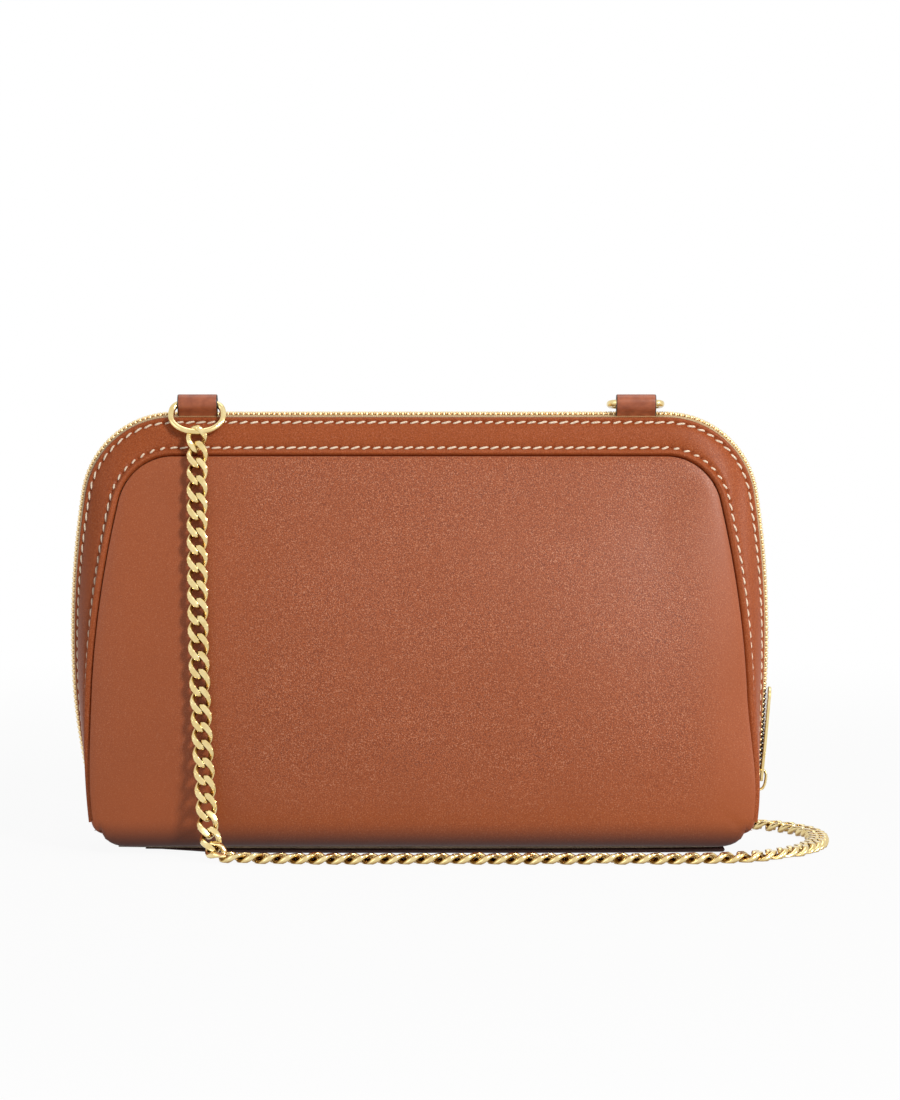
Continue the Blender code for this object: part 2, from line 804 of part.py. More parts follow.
def chain_points(fine):
    """Points of one stretch: straight at its ends, far apart where it is straight."""
    start = (fine[1] - fine[0]).normalized()
    end = (fine[-1] - fine[-2]).normalized()
    kept = [fine[0] + start * CLEARANCE / 2, fine[0] + start * CHAIN_LEAD]
    gone, turned = -CHAIN_LEAD, 0.0
    for i in range(1, len(fine) - 1):
        step, ahead = fine[i] - fine[i - 1], fine[i + 1] - fine[i]
        gone += step.length
        turned += step.angle(ahead)
        near_end = (fine[-1] - fine[i]).length < 2 * CHAIN_LEAD
        if gone > CHAIN_LEAD and not near_end and (gone >= CHAIN_STEP or turned >= CHAIN_TURN):
            kept.append(fine[i])
            gone, turned = 0.0, 0.0
    return kept + [fine[-1] - end * CHAIN_LEAD, fine[-1] - end * CLEARANCE / 2]


def make_tube(name, points, metal):
    """One stretch of the chain, as a plain tube of the chain's width."""
    curve = bpy.data.curves.new(name, "CURVE")
    curve.dimensions = "3D"
    curve.bevel_depth = CHAIN_WIDTH / 2
    curve.bevel_resolution = 2
    curve.use_fill_caps = True
    spline = curve.splines.new("POLY")
    spline.points.add(len(points) - 1)
    for place, point in zip(spline.points, points):
        place.co = (*point, 1.0)
    curve.materials.append(metal)
    made = bpy.data.objects.new(name, curve)
    bpy.context.scene.collection.objects.link(made)


def make_chain(metal):
    """The stretches of the chain, each one starting a clearance after the one before it."""
    route = [point for _, stretch in CHAIN_ROUTE for point in stretch]
    fine = [curve_point(route, i / CHAIN_SAMPLES) for i in range((len(route) - 1) * CHAIN_SAMPLES + 1)]
    start = 0
    count = 0
    for name, stretch in CHAIN_ROUTE:
        count += len(stretch)
        end = (count - 1) * CHAIN_SAMPLES
        make_tube(name, chain_points(fine[start : end + 1]), metal)
        start = end
    length = sum((b - a).length for a, b in zip(fine, fine[1:]))
    print(f"the chain's route is {length:.4f} m long")


def base_outline(half_width, inset, height):
    """Plan of a flat piece of the base that lies inside both faces at a height."""
    edge = []
    for i in range(BASE_STEPS + 1):
        x = -half_width * math.cos(math.pi * i / BASE_STEPS)
        point = face_point(x, height, NEAR, inset)
        edge.append((point.x, point.y))
    return edge + [(x, -y) for x, y in edge[::-1]]


def make_base(leather, board, lining):
    """Flat base: leather outside, a board on it and a lining over that."""
    inset = PANEL_THICKNESS + 3 * LAYER_GAP
    plan = base_outline(BASE_HALF_WIDTH, inset, 0.0)
    prism("base_panel", plan, 0.0, BASE_THICKNESS, leather)
    low = BASE_THICKNESS + CLEARANCE
    high = low + BASE_BOARD_THICKNESS
    plan = base_outline(BASE_BOARD_HALF_WIDTH, inset, BASE_THICKNESS)
    prism("base_board", plan, low, high, board)
    prism("base_lining", plan, high + CLEARANCE, base_height(), lining)


def make_pocket(lining):
    """A flat slip pocket's front, lying on the far lining and open at its top."""
    layers = PANEL_THICKNESS + BOARD_THICKNESS + LINING_THICKNESS
    start = layers + 3 * LAYER_GAP + LINING_EASE + POCKET_EASE
    sections = []
    for i in range(POCKET_STEPS + 1):
        height = POCKET_LOW + (POCKET_HIGH - POCKET_LOW) * i / POCKET_STEPS
        places = [POCKET_HALF_WIDTH * (2 * k / POCKET_STEPS - 1) for k in range(POCKET_STEPS + 1)]
        section = [face_point(x, height, FAR, start) for x in places]
        deep = start + POCKET_THICKNESS
        section += [face_point(x, height, FAR, deep) for x in places[::-1]]
        sections.append(section)
    loft("slip_pocket", sections, lining)


def build():
    """Make every piece of the clutch."""
    clear_scene()
    leather = make_material("tan leather", (0.38, 0.11, 0.05), 0.45, 0.0)
    board = make_material("bonded board", (0.32, 0.24, 0.16), 0.9, 0.0)
    cloth = make_material("lining cloth", (0.42, 0.26, 0.16), 0.85, 0.0)
    tape = make_material("zip tape", (0.45, 0.28, 0.14), 0.8, 0.0)
    gold = make_material("gold metal", (0.78, 0.58, 0.25), 0.25, 1.0)
    make_base(leather, board, cloth)
    make_halves(leather, board, cloth)
    make_bands(leather, board)
    make_pocket(cloth)
    make_zip(tape, gold)
    make_slider(gold)
    make_puller(gold)
    tab_centre = HALF_WIDTH - TAB_INSET
    rings = (
        ("left", -tab_centre, ring_down(LEFT_RING_LEAN), ring_down(LEFT_LINK_LEAN)),
        ("right", tab_centre, ring_down(RIGHT_RING_LEAN), ring_down(RIGHT_LINK_LEAN)),
    )
    for word, centre, down, along in rings:
        make_tab(f"{word}_tab", centre, leather)
        make_ring(f"{word}_ring", centre, down, gold)
        make_end_link(f"{word}_end_link", centre, down, along, gold)
    make_chain(gold)


build()
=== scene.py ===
"""The chain clutch, dressed: leather, stitching, zip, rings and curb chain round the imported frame.

Metres throughout, in the frame's own axes: +Z up, the face with the two tabs looks along -Y.
"""

import logging
import math
from collections.abc import Callable, Iterable, Mapping, Sequence
from dataclasses import dataclass, field
from enum import Enum

import bmesh
import bpy
import numpy as np
from mathutils import Matrix, Vector


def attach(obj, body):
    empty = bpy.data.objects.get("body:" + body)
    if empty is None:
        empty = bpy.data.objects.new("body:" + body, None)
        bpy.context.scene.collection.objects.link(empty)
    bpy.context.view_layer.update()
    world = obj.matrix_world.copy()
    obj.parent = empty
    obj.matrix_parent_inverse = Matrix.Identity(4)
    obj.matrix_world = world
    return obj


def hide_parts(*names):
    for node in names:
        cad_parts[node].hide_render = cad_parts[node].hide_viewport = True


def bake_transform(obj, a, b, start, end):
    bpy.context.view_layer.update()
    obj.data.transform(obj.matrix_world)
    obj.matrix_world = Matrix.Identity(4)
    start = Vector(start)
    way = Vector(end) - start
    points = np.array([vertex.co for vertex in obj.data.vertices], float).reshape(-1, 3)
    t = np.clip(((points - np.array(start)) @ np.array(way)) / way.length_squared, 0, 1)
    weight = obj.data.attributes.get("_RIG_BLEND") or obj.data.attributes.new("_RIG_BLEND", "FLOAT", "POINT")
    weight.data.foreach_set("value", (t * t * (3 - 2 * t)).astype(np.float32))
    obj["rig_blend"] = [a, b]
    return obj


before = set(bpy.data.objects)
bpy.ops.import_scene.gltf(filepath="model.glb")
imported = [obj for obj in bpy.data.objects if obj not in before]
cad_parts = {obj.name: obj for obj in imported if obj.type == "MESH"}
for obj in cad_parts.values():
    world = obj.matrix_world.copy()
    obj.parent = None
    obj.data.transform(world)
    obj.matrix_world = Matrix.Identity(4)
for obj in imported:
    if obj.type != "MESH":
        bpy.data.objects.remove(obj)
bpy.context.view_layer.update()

MM = 0.001
LOG = logging.getLogger("chain_clutch")

Array = np.ndarray
Material = bpy.types.Material
Piece = bpy.types.Object
Colour = tuple[float, float, float]
Place = tuple[float, float, float]
Span = tuple[float, float]
Triple = tuple[float, float, float]
WHITE = (1.0, 1.0, 1.0, 1.0)
SIDEWAYS = np.array([1.0, 0.0, 0.0])


class Side(Enum):
    """Which half of the clutch a piece belongs to."""

    NEAR = -1
    FAR = 1

    @property
    def word(self) -> str:
        """The half's word in the names of its pieces."""
        return self.name.lower()

    @property
    def body(self) -> str:
        """The frame's body that this half rides on."""
        return f"{self.word}_half"


class Slot(Enum):
    """Material slots of the record."""

    LEATHER = "leather"
    BOARD = "board"
    LINING = "lining"
    TAPE = "zip_tape"
    GOLD = "gold"


def smoothstep(low: float, high: float, value: Array) -> Array:
    """Rises smoothly from 0 at low to 1 at high.

    Args:
        low: Where the rise starts.
        high: Where it ends.
        value: The values to read.

    Returns:
        The risen values, from 0 to 1.
    """
    t = np.clip((value - low) / (high - low), 0.0, 1.0)
    return t * t * (3 - 2 * t)


def unit(vectors: Array) -> Array:
    """Vectors of length one, along the last axis."""
    return vectors / np.linalg.norm(vectors, axis=-1, keepdims=True)


def lengths_along(path: Array) -> Array:
    """Distance from the start of a path to each of its points."""
    return np.concatenate([[0.0], np.cumsum(np.linalg.norm(np.diff(path, axis=0), axis=1))])


def read_path(path: Array, gone: Array, where: Array | float) -> Array:
    """Places on a path at some distances from its start."""
    return np.stack([np.interp(where, gone, column) for column in path.T], axis=-1)


def signed_power(value: Array, power: float) -> Array:
    """A power of a value's size, with the value's own sign."""
    return np.sign(value) * np.abs(value) ** power


def rolled(share: Array) -> Array:
    """Drop of a rounded rim: 1 at the rim itself, 0 once the share reaches 1."""
    return 1 - np.sqrt(1 - np.clip(1 - share, 0.0, 1.0) ** 2)


def ridge(value: Array, middle: float, width: float) -> Array:
    """A smooth ridge, 1 high over its middle."""
    return np.exp(-(((value - middle) / width) ** 2))


def circle(count: int) -> Array:
    """Angles evenly round a circle, in radians."""
    return 2 * np.pi * np.arange(count) / count


def math_method(operation: str, reflected: bool = False) -> Callable[["Sock", object], "Sock"]:
    """A method for a Python operator that adds one Math node.

    Args:
        operation: The Math node's operation.
        reflected: Whether the other value stands on the left.

    Returns:
        The method.
    """

    def method(self: "Sock", other: "Sock | float") -> "Sock":
        """Joins the two values with the operation."""
        return self.net.math(operation, *((other, self) if reflected else (self, other)))

    return method


class Sock:
    """A value in a shader, on which a Python expression adds its Math nodes."""

    __add__ = math_method("ADD")
    __radd__ = math_method("ADD", reflected=True)
    __sub__ = math_method("SUBTRACT")
    __rsub__ = math_method("SUBTRACT", reflected=True)
    __mul__ = math_method("MULTIPLY")
    __rmul__ = math_method("MULTIPLY", reflected=True)

    def __init__(self, net: "Net", socket: bpy.types.NodeSocket) -> None:
        """Keeps the net and the output socket that the value comes from."""
        self.net = net
        self.socket = socket

    def __abs__(self) -> "Sock":
        """Size without its sign."""
        return self.net.math("ABSOLUTE", self)

    def rise(self, low: float, high: float, start: float = 0.0, end: float = 1.0) -> "Sock":
        """Rises smoothly from start, where the value is low, to end, where it is high.

        Args:
            low: Value at which the rise starts.
            high: Value at which it ends.
            start: Result below low.
            end: Result above high.

        Returns:
            The risen value.
        """
        inputs = {"Value": self, "From Min": low, "From Max": high, "To Min": start, "To Max": end}
        made = self.net.node("ShaderNodeMapRange", {"interpolation_type": "SMOOTHSTEP"}, inputs)
        return Sock(self.net, made.outputs["Result"])


class Net:
    """The nodes of one tree, of a material or of the world."""

    def __init__(self, tree: bpy.types.NodeTree) -> None:
        """Keeps the tree that the nodes go into."""
        self.tree = tree

    def node(
        self,
        kind: str,
        settings: Mapping[str, object] | None = None,
        inputs: Mapping[str | int, object] | None = None,
    ) -> bpy.types.Node:
        """Adds one node.

        Args:
            kind: The node's type.
            settings: Its own settings, set first.
            inputs: Values or links of its sockets, by name or number.

        Returns:
            The node.
        """
        made = self.tree.nodes.new(kind)
        for key, value in (settings or {}).items():
            setattr(made, key, value)
        for key, value in (inputs or {}).items():
            self.feed(made.inputs[key], value)
        return made

    def feed(self, socket: bpy.types.NodeSocket, value: object) -> None:
        """Links a value to a socket, or sets it there if it is a plain number or colour."""
        if isinstance(value, Sock):
            self.tree.links.new(value.socket, socket)
        else:
            socket.default_value = value

    def math(self, operation: str, *values: "Sock | float") -> Sock:
        """One Math node."""
        made = self.node("ShaderNodeMath", {"operation": operation}, dict(enumerate(values)))
        return Sock(self, made.outputs[0])

    def mix(self, factor: Sock | float, first: object, second: object) -> Sock:
        """A colour between two others.

        Args:
            factor: 0 for the first colour, 1 for the second.
            first: A colour value or socket.
            second: A colour value or socket.

        Returns:
            The mixed colour.
        """
        inputs = {0: factor, 6: self._colour(first), 7: self._colour(second)}
        made = self.node("ShaderNodeMix", {"data_type": "RGBA"}, inputs)
        return Sock(self, made.outputs[2])

    def tint(self, colour: Sock, shade: Sock) -> Sock:
        """One colour times another."""
        settings = {"data_type": "RGBA", "blend_type": "MULTIPLY"}
        made = self.node("ShaderNodeMix", settings, {0: 1.0, 6: colour, 7: shade})
        return Sock(self, made.outputs[2])

    @staticmethod
    def _colour(value: object) -> object:
        """A colour with its fourth number, unless it is a socket."""
        return value if isinstance(value, Sock) else (*value, 1.0)

    def place(self, stretch: Place = (1.0, 1.0, 1.0)) -> Sock:
        """Place on the piece, in metres, times a stretch along each axis."""
        here = Sock(self, self.node("ShaderNodeTexCoord").outputs["Object"])
        made = self.node("ShaderNodeVectorMath", {"operation": "MULTIPLY"}, {0: here, 1: stretch})
        return Sock(self, made.outputs[0])

    def axis(self, place: Sock, letter: str) -> Sock:
        """One coordinate of a place."""
        made = self.node("ShaderNodeSeparateXYZ", None, {0: place})
        return Sock(self, made.outputs[letter])

    def noise(self, place: Sock, size: float, detail: float = 3.0) -> Sock:
        """Soft noise whose patches are about that size, in metres."""
        inputs = {"Vector": place, "Scale": 1 / size, "Detail": detail}
        return Sock(self, self.node("ShaderNodeTexNoise", None, inputs).outputs["Fac"])

    def openness(self, reach: float) -> Sock:
        """1 where a surface lies open, falling to 0 in recesses of about that depth."""
        made = self.node("ShaderNodeAmbientOcclusion", {"samples": 8}, {"Distance": reach})
        return Sock(self, made.outputs["AO"])

    def cells(self, place: Sock, size: float) -> Sock:
        """Distance within rounded cells of about that size, in metres."""
        settings = {"feature": "SMOOTH_F1"}
        made = self.node("ShaderNodeTexVoronoi", settings, {"Vector": place, "Scale": 1 / size})
        return Sock(self, made.outputs["Distance"])

    def waves(self, value: Sock, pitch: float) -> Sock:
        """A wave from 0 to 1 that repeats every pitch of a coordinate."""
        return self.math("SINE", value * (2 * math.pi / pitch)) * 0.5 + 0.5

    def bump(self, height: Sock, deep: float) -> Sock:
        """A normal from a height of 0 to 1 that stands for a real depth in metres."""
        made = self.node("ShaderNodeBump", None, {"Height": height, "Distance": deep})
        return Sock(self, made.outputs["Normal"])

    def shaders(self, factor: Sock, first: bpy.types.Node, second: bpy.types.Node) -> Sock:
        """A shader between two others."""
        inputs = {0: factor, 1: Sock(self, first.outputs[0]), 2: Sock(self, second.outputs[0])}
        return Sock(self, self.node("ShaderNodeMixShader", None, inputs).outputs[0])


class ShaderNet(Net):
    """The nodes of one material, with a Principled shader to feed."""

    def __init__(self, name: str) -> None:
        """Starts a material of that name with its Principled shader."""
        self.material = bpy.data.materials.new(name)
        self.material.use_nodes = True
        super().__init__(self.material.node_tree)
        self.shader = self.tree.nodes["Principled BSDF"]
        self.output = self.tree.nodes["Material Output"]

    def dress(self, **values: object) -> Material:
        """Sets or links sockets of the Principled shader, named with _ for a space.

        Returns:
            The finished material.
        """
        for key, value in values.items():
            self.feed(self.shader.inputs[key.replace("_", " ")], value)
        return self.material


@dataclass(frozen=True)
class LeatherFinish:
    """Smooth calf leather with a fine pebble grain. Its colour holds painted highlight specks on the grain's
    high spots, painted shade in the grain's hollows, and, where foot_shade is set, painted shade towards the
    floor.
    """

    name: str
    # lit is the colour of the grain's tops and deep that of its hollows: partly the grain's own tone, partly
    # painted shade
    lit: Colour = (0.330, 0.080, 0.023)
    deep: Colour = (0.170, 0.034, 0.011)
    # painted highlight: the light colour of specks where the grain's high spots would glint
    glint_colour: Colour = (0.660, 0.330, 0.200)
    # black is the painted shade colour towards the floor
    black: Colour = (0.030, 0.010, 0.009)
    grain: float = 0.29 * MM
    grain_deep: float = 0.060 * MM
    fine_share: float = 0.3
    grain_limits: Span = (0.35, 0.70)
    patch: float = 20 * MM
    patch_limits: Span = (0.35, 0.62)
    patch_least: float = 0.82
    # share and limits of the painted highlight specks
    glint_share: float = 0.50
    glint_limits: Span = (0.54, 0.70)
    shade_limits: Span = (0.3, 0.7)
    shade_dark: Colour = (0.97, 0.965, 0.96)
    shade_light: Colour = (1.02, 1.02, 1.02)
    roughness: float = 0.42
    sheen: float = 0.30
    calm_edges: bool = False
    calm_left: Span = (-0.076, -0.040)
    calm_right: Span = (0.076, 0.092)
    calm_low: Span = (0.006, 0.034)
    calm_shares: Span = (0.3, 0.4)
    # painted shade: how far the colour darkens towards the floor, between these heights, for the shade under
    # the curl
    foot_shade: float = 0.0
    foot_heights: Span = (0.0015, 0.0110)

    def make(self) -> Material:
        """Builds the material.

        Returns:
            The material.
        """
        net = ShaderNet(self.name)
        place = net.place()
        pebble = 1 - net.cells(place, self.grain)
        fine = net.noise(place, self.grain, 1.0)
        patch = net.noise(place, self.patch, 4.0)
        strength = patch.rise(*self.patch_limits, self.patch_least, 1.0)
        if self.calm_edges:
            wide = net.axis(place, "X")
            calm, calm_low = self.calm_shares
            strength = strength * wide.rise(*self.calm_left, calm, 1.0)
            strength = strength * wide.rise(*self.calm_right, 1.0, calm)
            strength = strength * net.axis(place, "Z").rise(*self.calm_low, calm_low, 1.0)
        height = pebble * (1 - self.fine_share) + fine * self.fine_share
        # grain tops take the lit colour and hollows the deep one: partly the grain's own tone, partly
        # painted shade in the hollows
        lit = height.rise(*self.grain_limits) * strength + (1 - strength)
        colour = net.mix(lit, self.deep, self.lit)
        # painted highlight: light specks mixed into the colour where the grain would glint; roughness drops
        # there too
        glint = fine.rise(*self.glint_limits) * strength * self.glint_share
        colour = net.mix(glint, colour, self.glint_colour)
        shade = net.mix(patch.rise(*self.shade_limits), self.shade_dark, self.shade_light)
        colour = net.tint(colour, shade)
        # painted shade: darker towards the floor, where shade falls under the face's curl
        if self.foot_shade:
            low = net.axis(place, "Z").rise(*self.foot_heights, self.foot_shade, 0.0)
            colour = net.mix(low, colour, self.black)
        return net.dress(
            Base_Color=colour,
            Roughness=self.roughness + (patch - 0.5) * 0.08 - glint * 0.3,
            Normal=net.bump(height * strength, self.grain_deep),
            Specular_IOR_Level=self.sheen,
        )


@dataclass(frozen=True)
class TabFinish:
    """The folded tab's leather, with its cut edges painted nearly black."""

    name: str
    centre: float
    half_width: float
    paint: float = 0.34 * MM
    paint_wave: float = 0.12 * MM
    wave_size: float = 0.8 * MM
    tone_size: float = 3 * MM
    grain: float = 0.36 * MM
    grain_deep: float = 0.03 * MM
    leather: Colour = (0.365, 0.100, 0.040)
    deep: Colour = (0.250, 0.060, 0.022)
    black: Colour = (0.022, 0.014, 0.012)

    def make(self) -> Material:
        """Builds the material.

        Returns:
            The material.
        """
        net = ShaderNet(self.name)
        place = net.place()
        off = abs(net.axis(place, "X") - self.centre)
        wave = (net.noise(place, self.wave_size) - 0.5) * self.paint_wave
        edge = (off + wave).rise(self.half_width - self.paint, self.half_width - self.paint * 0.6)
        pebble = net.cells(place, self.grain)
        tone = net.noise(place, self.tone_size, 3.0)
        colour = net.mix(tone.rise(0.3, 0.7), self.deep, self.leather)
        colour = net.mix(edge, colour, self.black)
        roughness = 0.40 + (tone - 0.5) * 0.12 - edge * 0.08
        normal = net.bump((1 - pebble) * (1 - edge), self.grain_deep)
        return net.dress(Base_Color=colour, Roughness=roughness, Normal=normal)


@dataclass(frozen=True)
class ThreadFinish:
    """Waxed cream thread, its strands twisted."""

    name: str = "waxed cream thread"
    light: Colour = (0.920, 0.770, 0.600)
    dark: Colour = (0.700, 0.530, 0.360)
    ply_pitch: float = 0.30 * MM
    ply_deep: float = 0.05 * MM
    tone_size: float = 1.7 * MM

    def make(self) -> Material:
        """Builds the material.

        Returns:
            The material.
        """
        net = ShaderNet(self.name)
        place = net.place()
        ply = net.waves(net.axis(place, "X") + net.axis(place, "Z") * 1.3, self.ply_pitch)
        tone = net.noise(place, self.tone_size, 2.0)
        colour = net.mix((tone * 0.6 + ply * 0.4).rise(0.2, 0.7), self.dark, self.light)
        roughness = 0.55 + (tone - 0.5) * 0.2
        return net.dress(Base_Color=colour, Roughness=roughness, Normal=net.bump(ply, self.ply_deep))


@dataclass(frozen=True)
class GoldFinish:
    """Polished gold plate with fine rubbing marks and warm painted shade in its recesses."""

    name: str
    bright: Colour = (0.860, 0.710, 0.380)
    warm: Colour = (0.720, 0.530, 0.210)
    # painted shade: the colour that recesses darken to, out to the reach below
    recess_shade: Colour = (0.300, 0.165, 0.040)
    shade_reach: float = 2.6 * MM
    tone_size: float = 2.6 * MM
    rub_size: float = 0.35 * MM
    rub_deep: float = 0.006 * MM
    roughness: float = 0.20

    def make(self) -> Material:
        """Builds the material.

        Returns:
            The material.
        """
        net = ShaderNet(self.name)
        place = net.place()
        tone = net.noise(place, self.tone_size, 3.0)
        rub = net.noise(net.place((1.0, 1.0, 3.0)), self.rub_size, 2.0)
        colour = net.mix(tone.rise(0.1, 0.85), self.warm, self.bright)
        # painted shade: the colour darkens in recesses found by ambient occlusion
        colour = net.mix(net.openness(self.shade_reach).rise(0.25, 0.80), self.recess_shade, colour)
        roughness = self.roughness + (tone - 0.5) * 0.10 + (rub - 0.5) * 0.08
        normal = net.bump(rub, self.rub_deep)
        return net.dress(Base_Color=colour, Metallic=1.0, Roughness=roughness, Normal=normal)


@dataclass(frozen=True)
class WeaveFinish:
    """Woven cloth: over-and-under threads along two directions."""

    name: str
    light: Colour
    dark: Colour
    pitch: float
    deep: float
    roughness: float = 0.85
    metal_share: float = 0.0

    def make(self) -> Material:
        """Builds the material.

        Returns:
            The material.
        """
        net = ShaderNet(self.name)
        place = net.place()
        across = net.axis(place, "X") + net.axis(place, "Y")
        up = net.axis(place, "Z") + net.axis(place, "Y") * 0.5
        warp = net.waves(across + up, self.pitch)
        weft = net.waves(across - up, self.pitch)
        thread = warp * weft
        tone = net.noise(place, self.pitch * 9, 3.0)
        colour = net.mix((thread * 0.7 + tone * 0.3).rise(0.1, 0.75), self.dark, self.light)
        roughness = self.roughness - thread * 0.12
        metal = thread.rise(0.35, 0.7, 0.0, self.metal_share)
        normal = net.bump(thread, self.deep)
        return net.dress(Base_Color=colour, Metallic=metal, Roughness=roughness, Normal=normal)


@dataclass(frozen=True)
class BoardFinish:
    """Grey-brown bonded board with short fibres pressed in."""

    name: str = "bonded board"
    light: Colour = (0.330, 0.250, 0.170)
    dark: Colour = (0.190, 0.140, 0.095)
    fibre_size: float = 1.1 * MM
    fibre_deep: float = 0.05 * MM
    broad_size: float = 8 * MM

    def make(self) -> Material:
        """Builds the material.

        Returns:
            The material.
        """
        net = ShaderNet(self.name)
        fibre = net.noise(net.place((1.0, 1.0, 4.0)), self.fibre_size, 5.0)
        broad = net.noise(net.place(), self.broad_size, 3.0)
        colour = net.mix((fibre * 0.6 + broad * 0.4).rise(0.3, 0.7), self.dark, self.light)
        roughness = 0.86 + (fibre - 0.5) * 0.15
        normal = net.bump(fibre, self.fibre_deep)
        return net.dress(Base_Color=colour, Roughness=roughness, Normal=normal)


class Plan:
    """Points and faces gathered for one piece."""

    def __init__(self) -> None:
        """Starts with nothing."""
        self.points: list[Array] = []
        self.faces: list[tuple[int, ...]] = []
        self.count = 0

    def add(self, points: Array, faces: Iterable[Sequence[int]]) -> int:
        """Adds points and the faces between them.

        Args:
            points: Places, one row each.
            faces: Faces as numbers into those rows.

        Returns:
            The number of the first of these points in the piece.
        """
        start = self.count
        flat = np.asarray(points, float).reshape(-1, 3)
        self.points.append(flat)
        self.faces.extend(tuple(start + int(k) for k in face) for face in faces)
        self.count += len(flat)
        return start

    def grid(self, rows: Array, wrap: bool = False, loop: bool = False, caps: bool = False) -> int:
        """Adds a grid of points with quads between them.

        Args:
            rows: Places as rows by columns by 3.
            wrap: Whether each row closes on itself.
            loop: Whether the last row joins the first.
            caps: Whether the first and the last row are filled.

        Returns:
            The number of the first point.
        """
        count, wide = rows.shape[:2]
        numbers = np.arange(count * wide).reshape(count, wide)
        if wrap:
            numbers = np.hstack([numbers, numbers[:, :1]])
        if loop:
            numbers = np.vstack([numbers, numbers[:1]])
        corners = (numbers[:-1, :-1], numbers[:-1, 1:], numbers[1:, 1:], numbers[1:, :-1])
        quads = np.stack(corners, axis=-1).reshape(-1, 4)
        faces = [tuple(quad) for quad in quads.tolist()]
        if caps:
            faces.append(tuple(range(wide))[::-1])
            faces.append(tuple((count - 1) * wide + k for k in range(wide)))
        return self.add(rows, faces)

    def wall(self, first: Sequence[int], second: Sequence[int]) -> None:
        """Joins two closed lines of points that are already here with quads."""
        for k in range(len(first)):
            self.faces.append((first[k - 1], first[k], second[k], second[k - 1]))

    def build(
        self, name: str, material: Material, slot: Slot, sharp: float = 50.0, soft: bool = False
    ) -> Piece:
        """Makes the piece.

        Args:
            name: The piece's name.
            material: Its finish.
            slot: Not used.
            sharp: Angle in degrees past which an edge shades sharp.
            soft: Whether the piece settles with the bag.

        Returns:
            The piece, in place.
        """
        mesh = bpy.data.meshes.new(name)
        points = np.concatenate(self.points)
        points = FORM.settled(points) if soft else points
        mesh.from_pydata(points.tolist(), [], self.faces)
        work = bmesh.new()
        work.from_mesh(mesh)
        bmesh.ops.recalc_face_normals(work, faces=work.faces[:])
        work.to_mesh(mesh)
        work.free()
        mesh.shade_smooth()
        mesh.set_sharp_from_angle(angle=math.radians(sharp))
        mesh.materials.append(material)
        made = bpy.data.objects.new(name, mesh)
        bpy.context.scene.collection.objects.link(made)
        LOG.info("%s: %d points", name, len(mesh.vertices))
        return made


def sweep(path: Array, side: Array, up: Array, section: Array) -> Array:
    """Rows of points with one section carried along a path.

    Args:
        path: Places along the path.
        side: The section's first direction at each place.
        up: Its second direction at each place.
        section: Points of the section, as (side, up) pairs, or one such set for each place.

    Returns:
        Rows of places, one row for each place of the path.
    """
    section = np.broadcast_to(section, (len(path), *section.shape[-2:]))
    across, high = section[:, :, 0:1], section[:, :, 1:2]
    return path[:, None, :] + side[:, None, :] * across + up[:, None, :] * high


def round_section(count: int, half_wide: float, half_high: float) -> Array:
    """Points of an oval section."""
    turn = circle(count)
    return np.stack([half_wide * np.cos(turn), half_high * np.sin(turn)], axis=1)


def solid(
    name: str, rows: Array, material: Material, slot: Slot, loop: bool = False, sharp: float = 50.0,
    soft: bool = False,
) -> Piece:
    """Makes a piece of one grid that is closed round each row.

    Args:
        name: The piece's name.
        rows: Places as rows by columns by 3.
        material: Its finish.
        slot: A material slot, handed on to Plan.build.
        loop: Whether the last row joins the first. Otherwise both are capped.
        sharp: Angle in degrees past which an edge shades sharp.
        soft: Whether the piece settles with the bag.

    Returns:
        The piece, in place.
    """
    plan = Plan()
    plan.grid(rows, wrap=True, loop=loop, caps=not loop)
    return plan.build(name, material, slot, sharp, soft)


def settle(piece: Piece, body: str, *nodes: str) -> Piece:
    """Lets a piece ride on a body, in place of its nodes if it has any.

    Args:
        piece: The piece.
        body: The frame's body.
        nodes: Names of the frame's nodes that the piece replaces.

    Returns:
        The piece.
    """
    if nodes:
        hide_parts(*nodes)
    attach(piece, body)
    return piece


def dress_nodes(material: Material, *names: str) -> None:
    """Gives frame nodes that stay in view their finish."""
    for name in names:
        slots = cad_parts[name].data.materials
        slots.clear()
        slots.append(material)


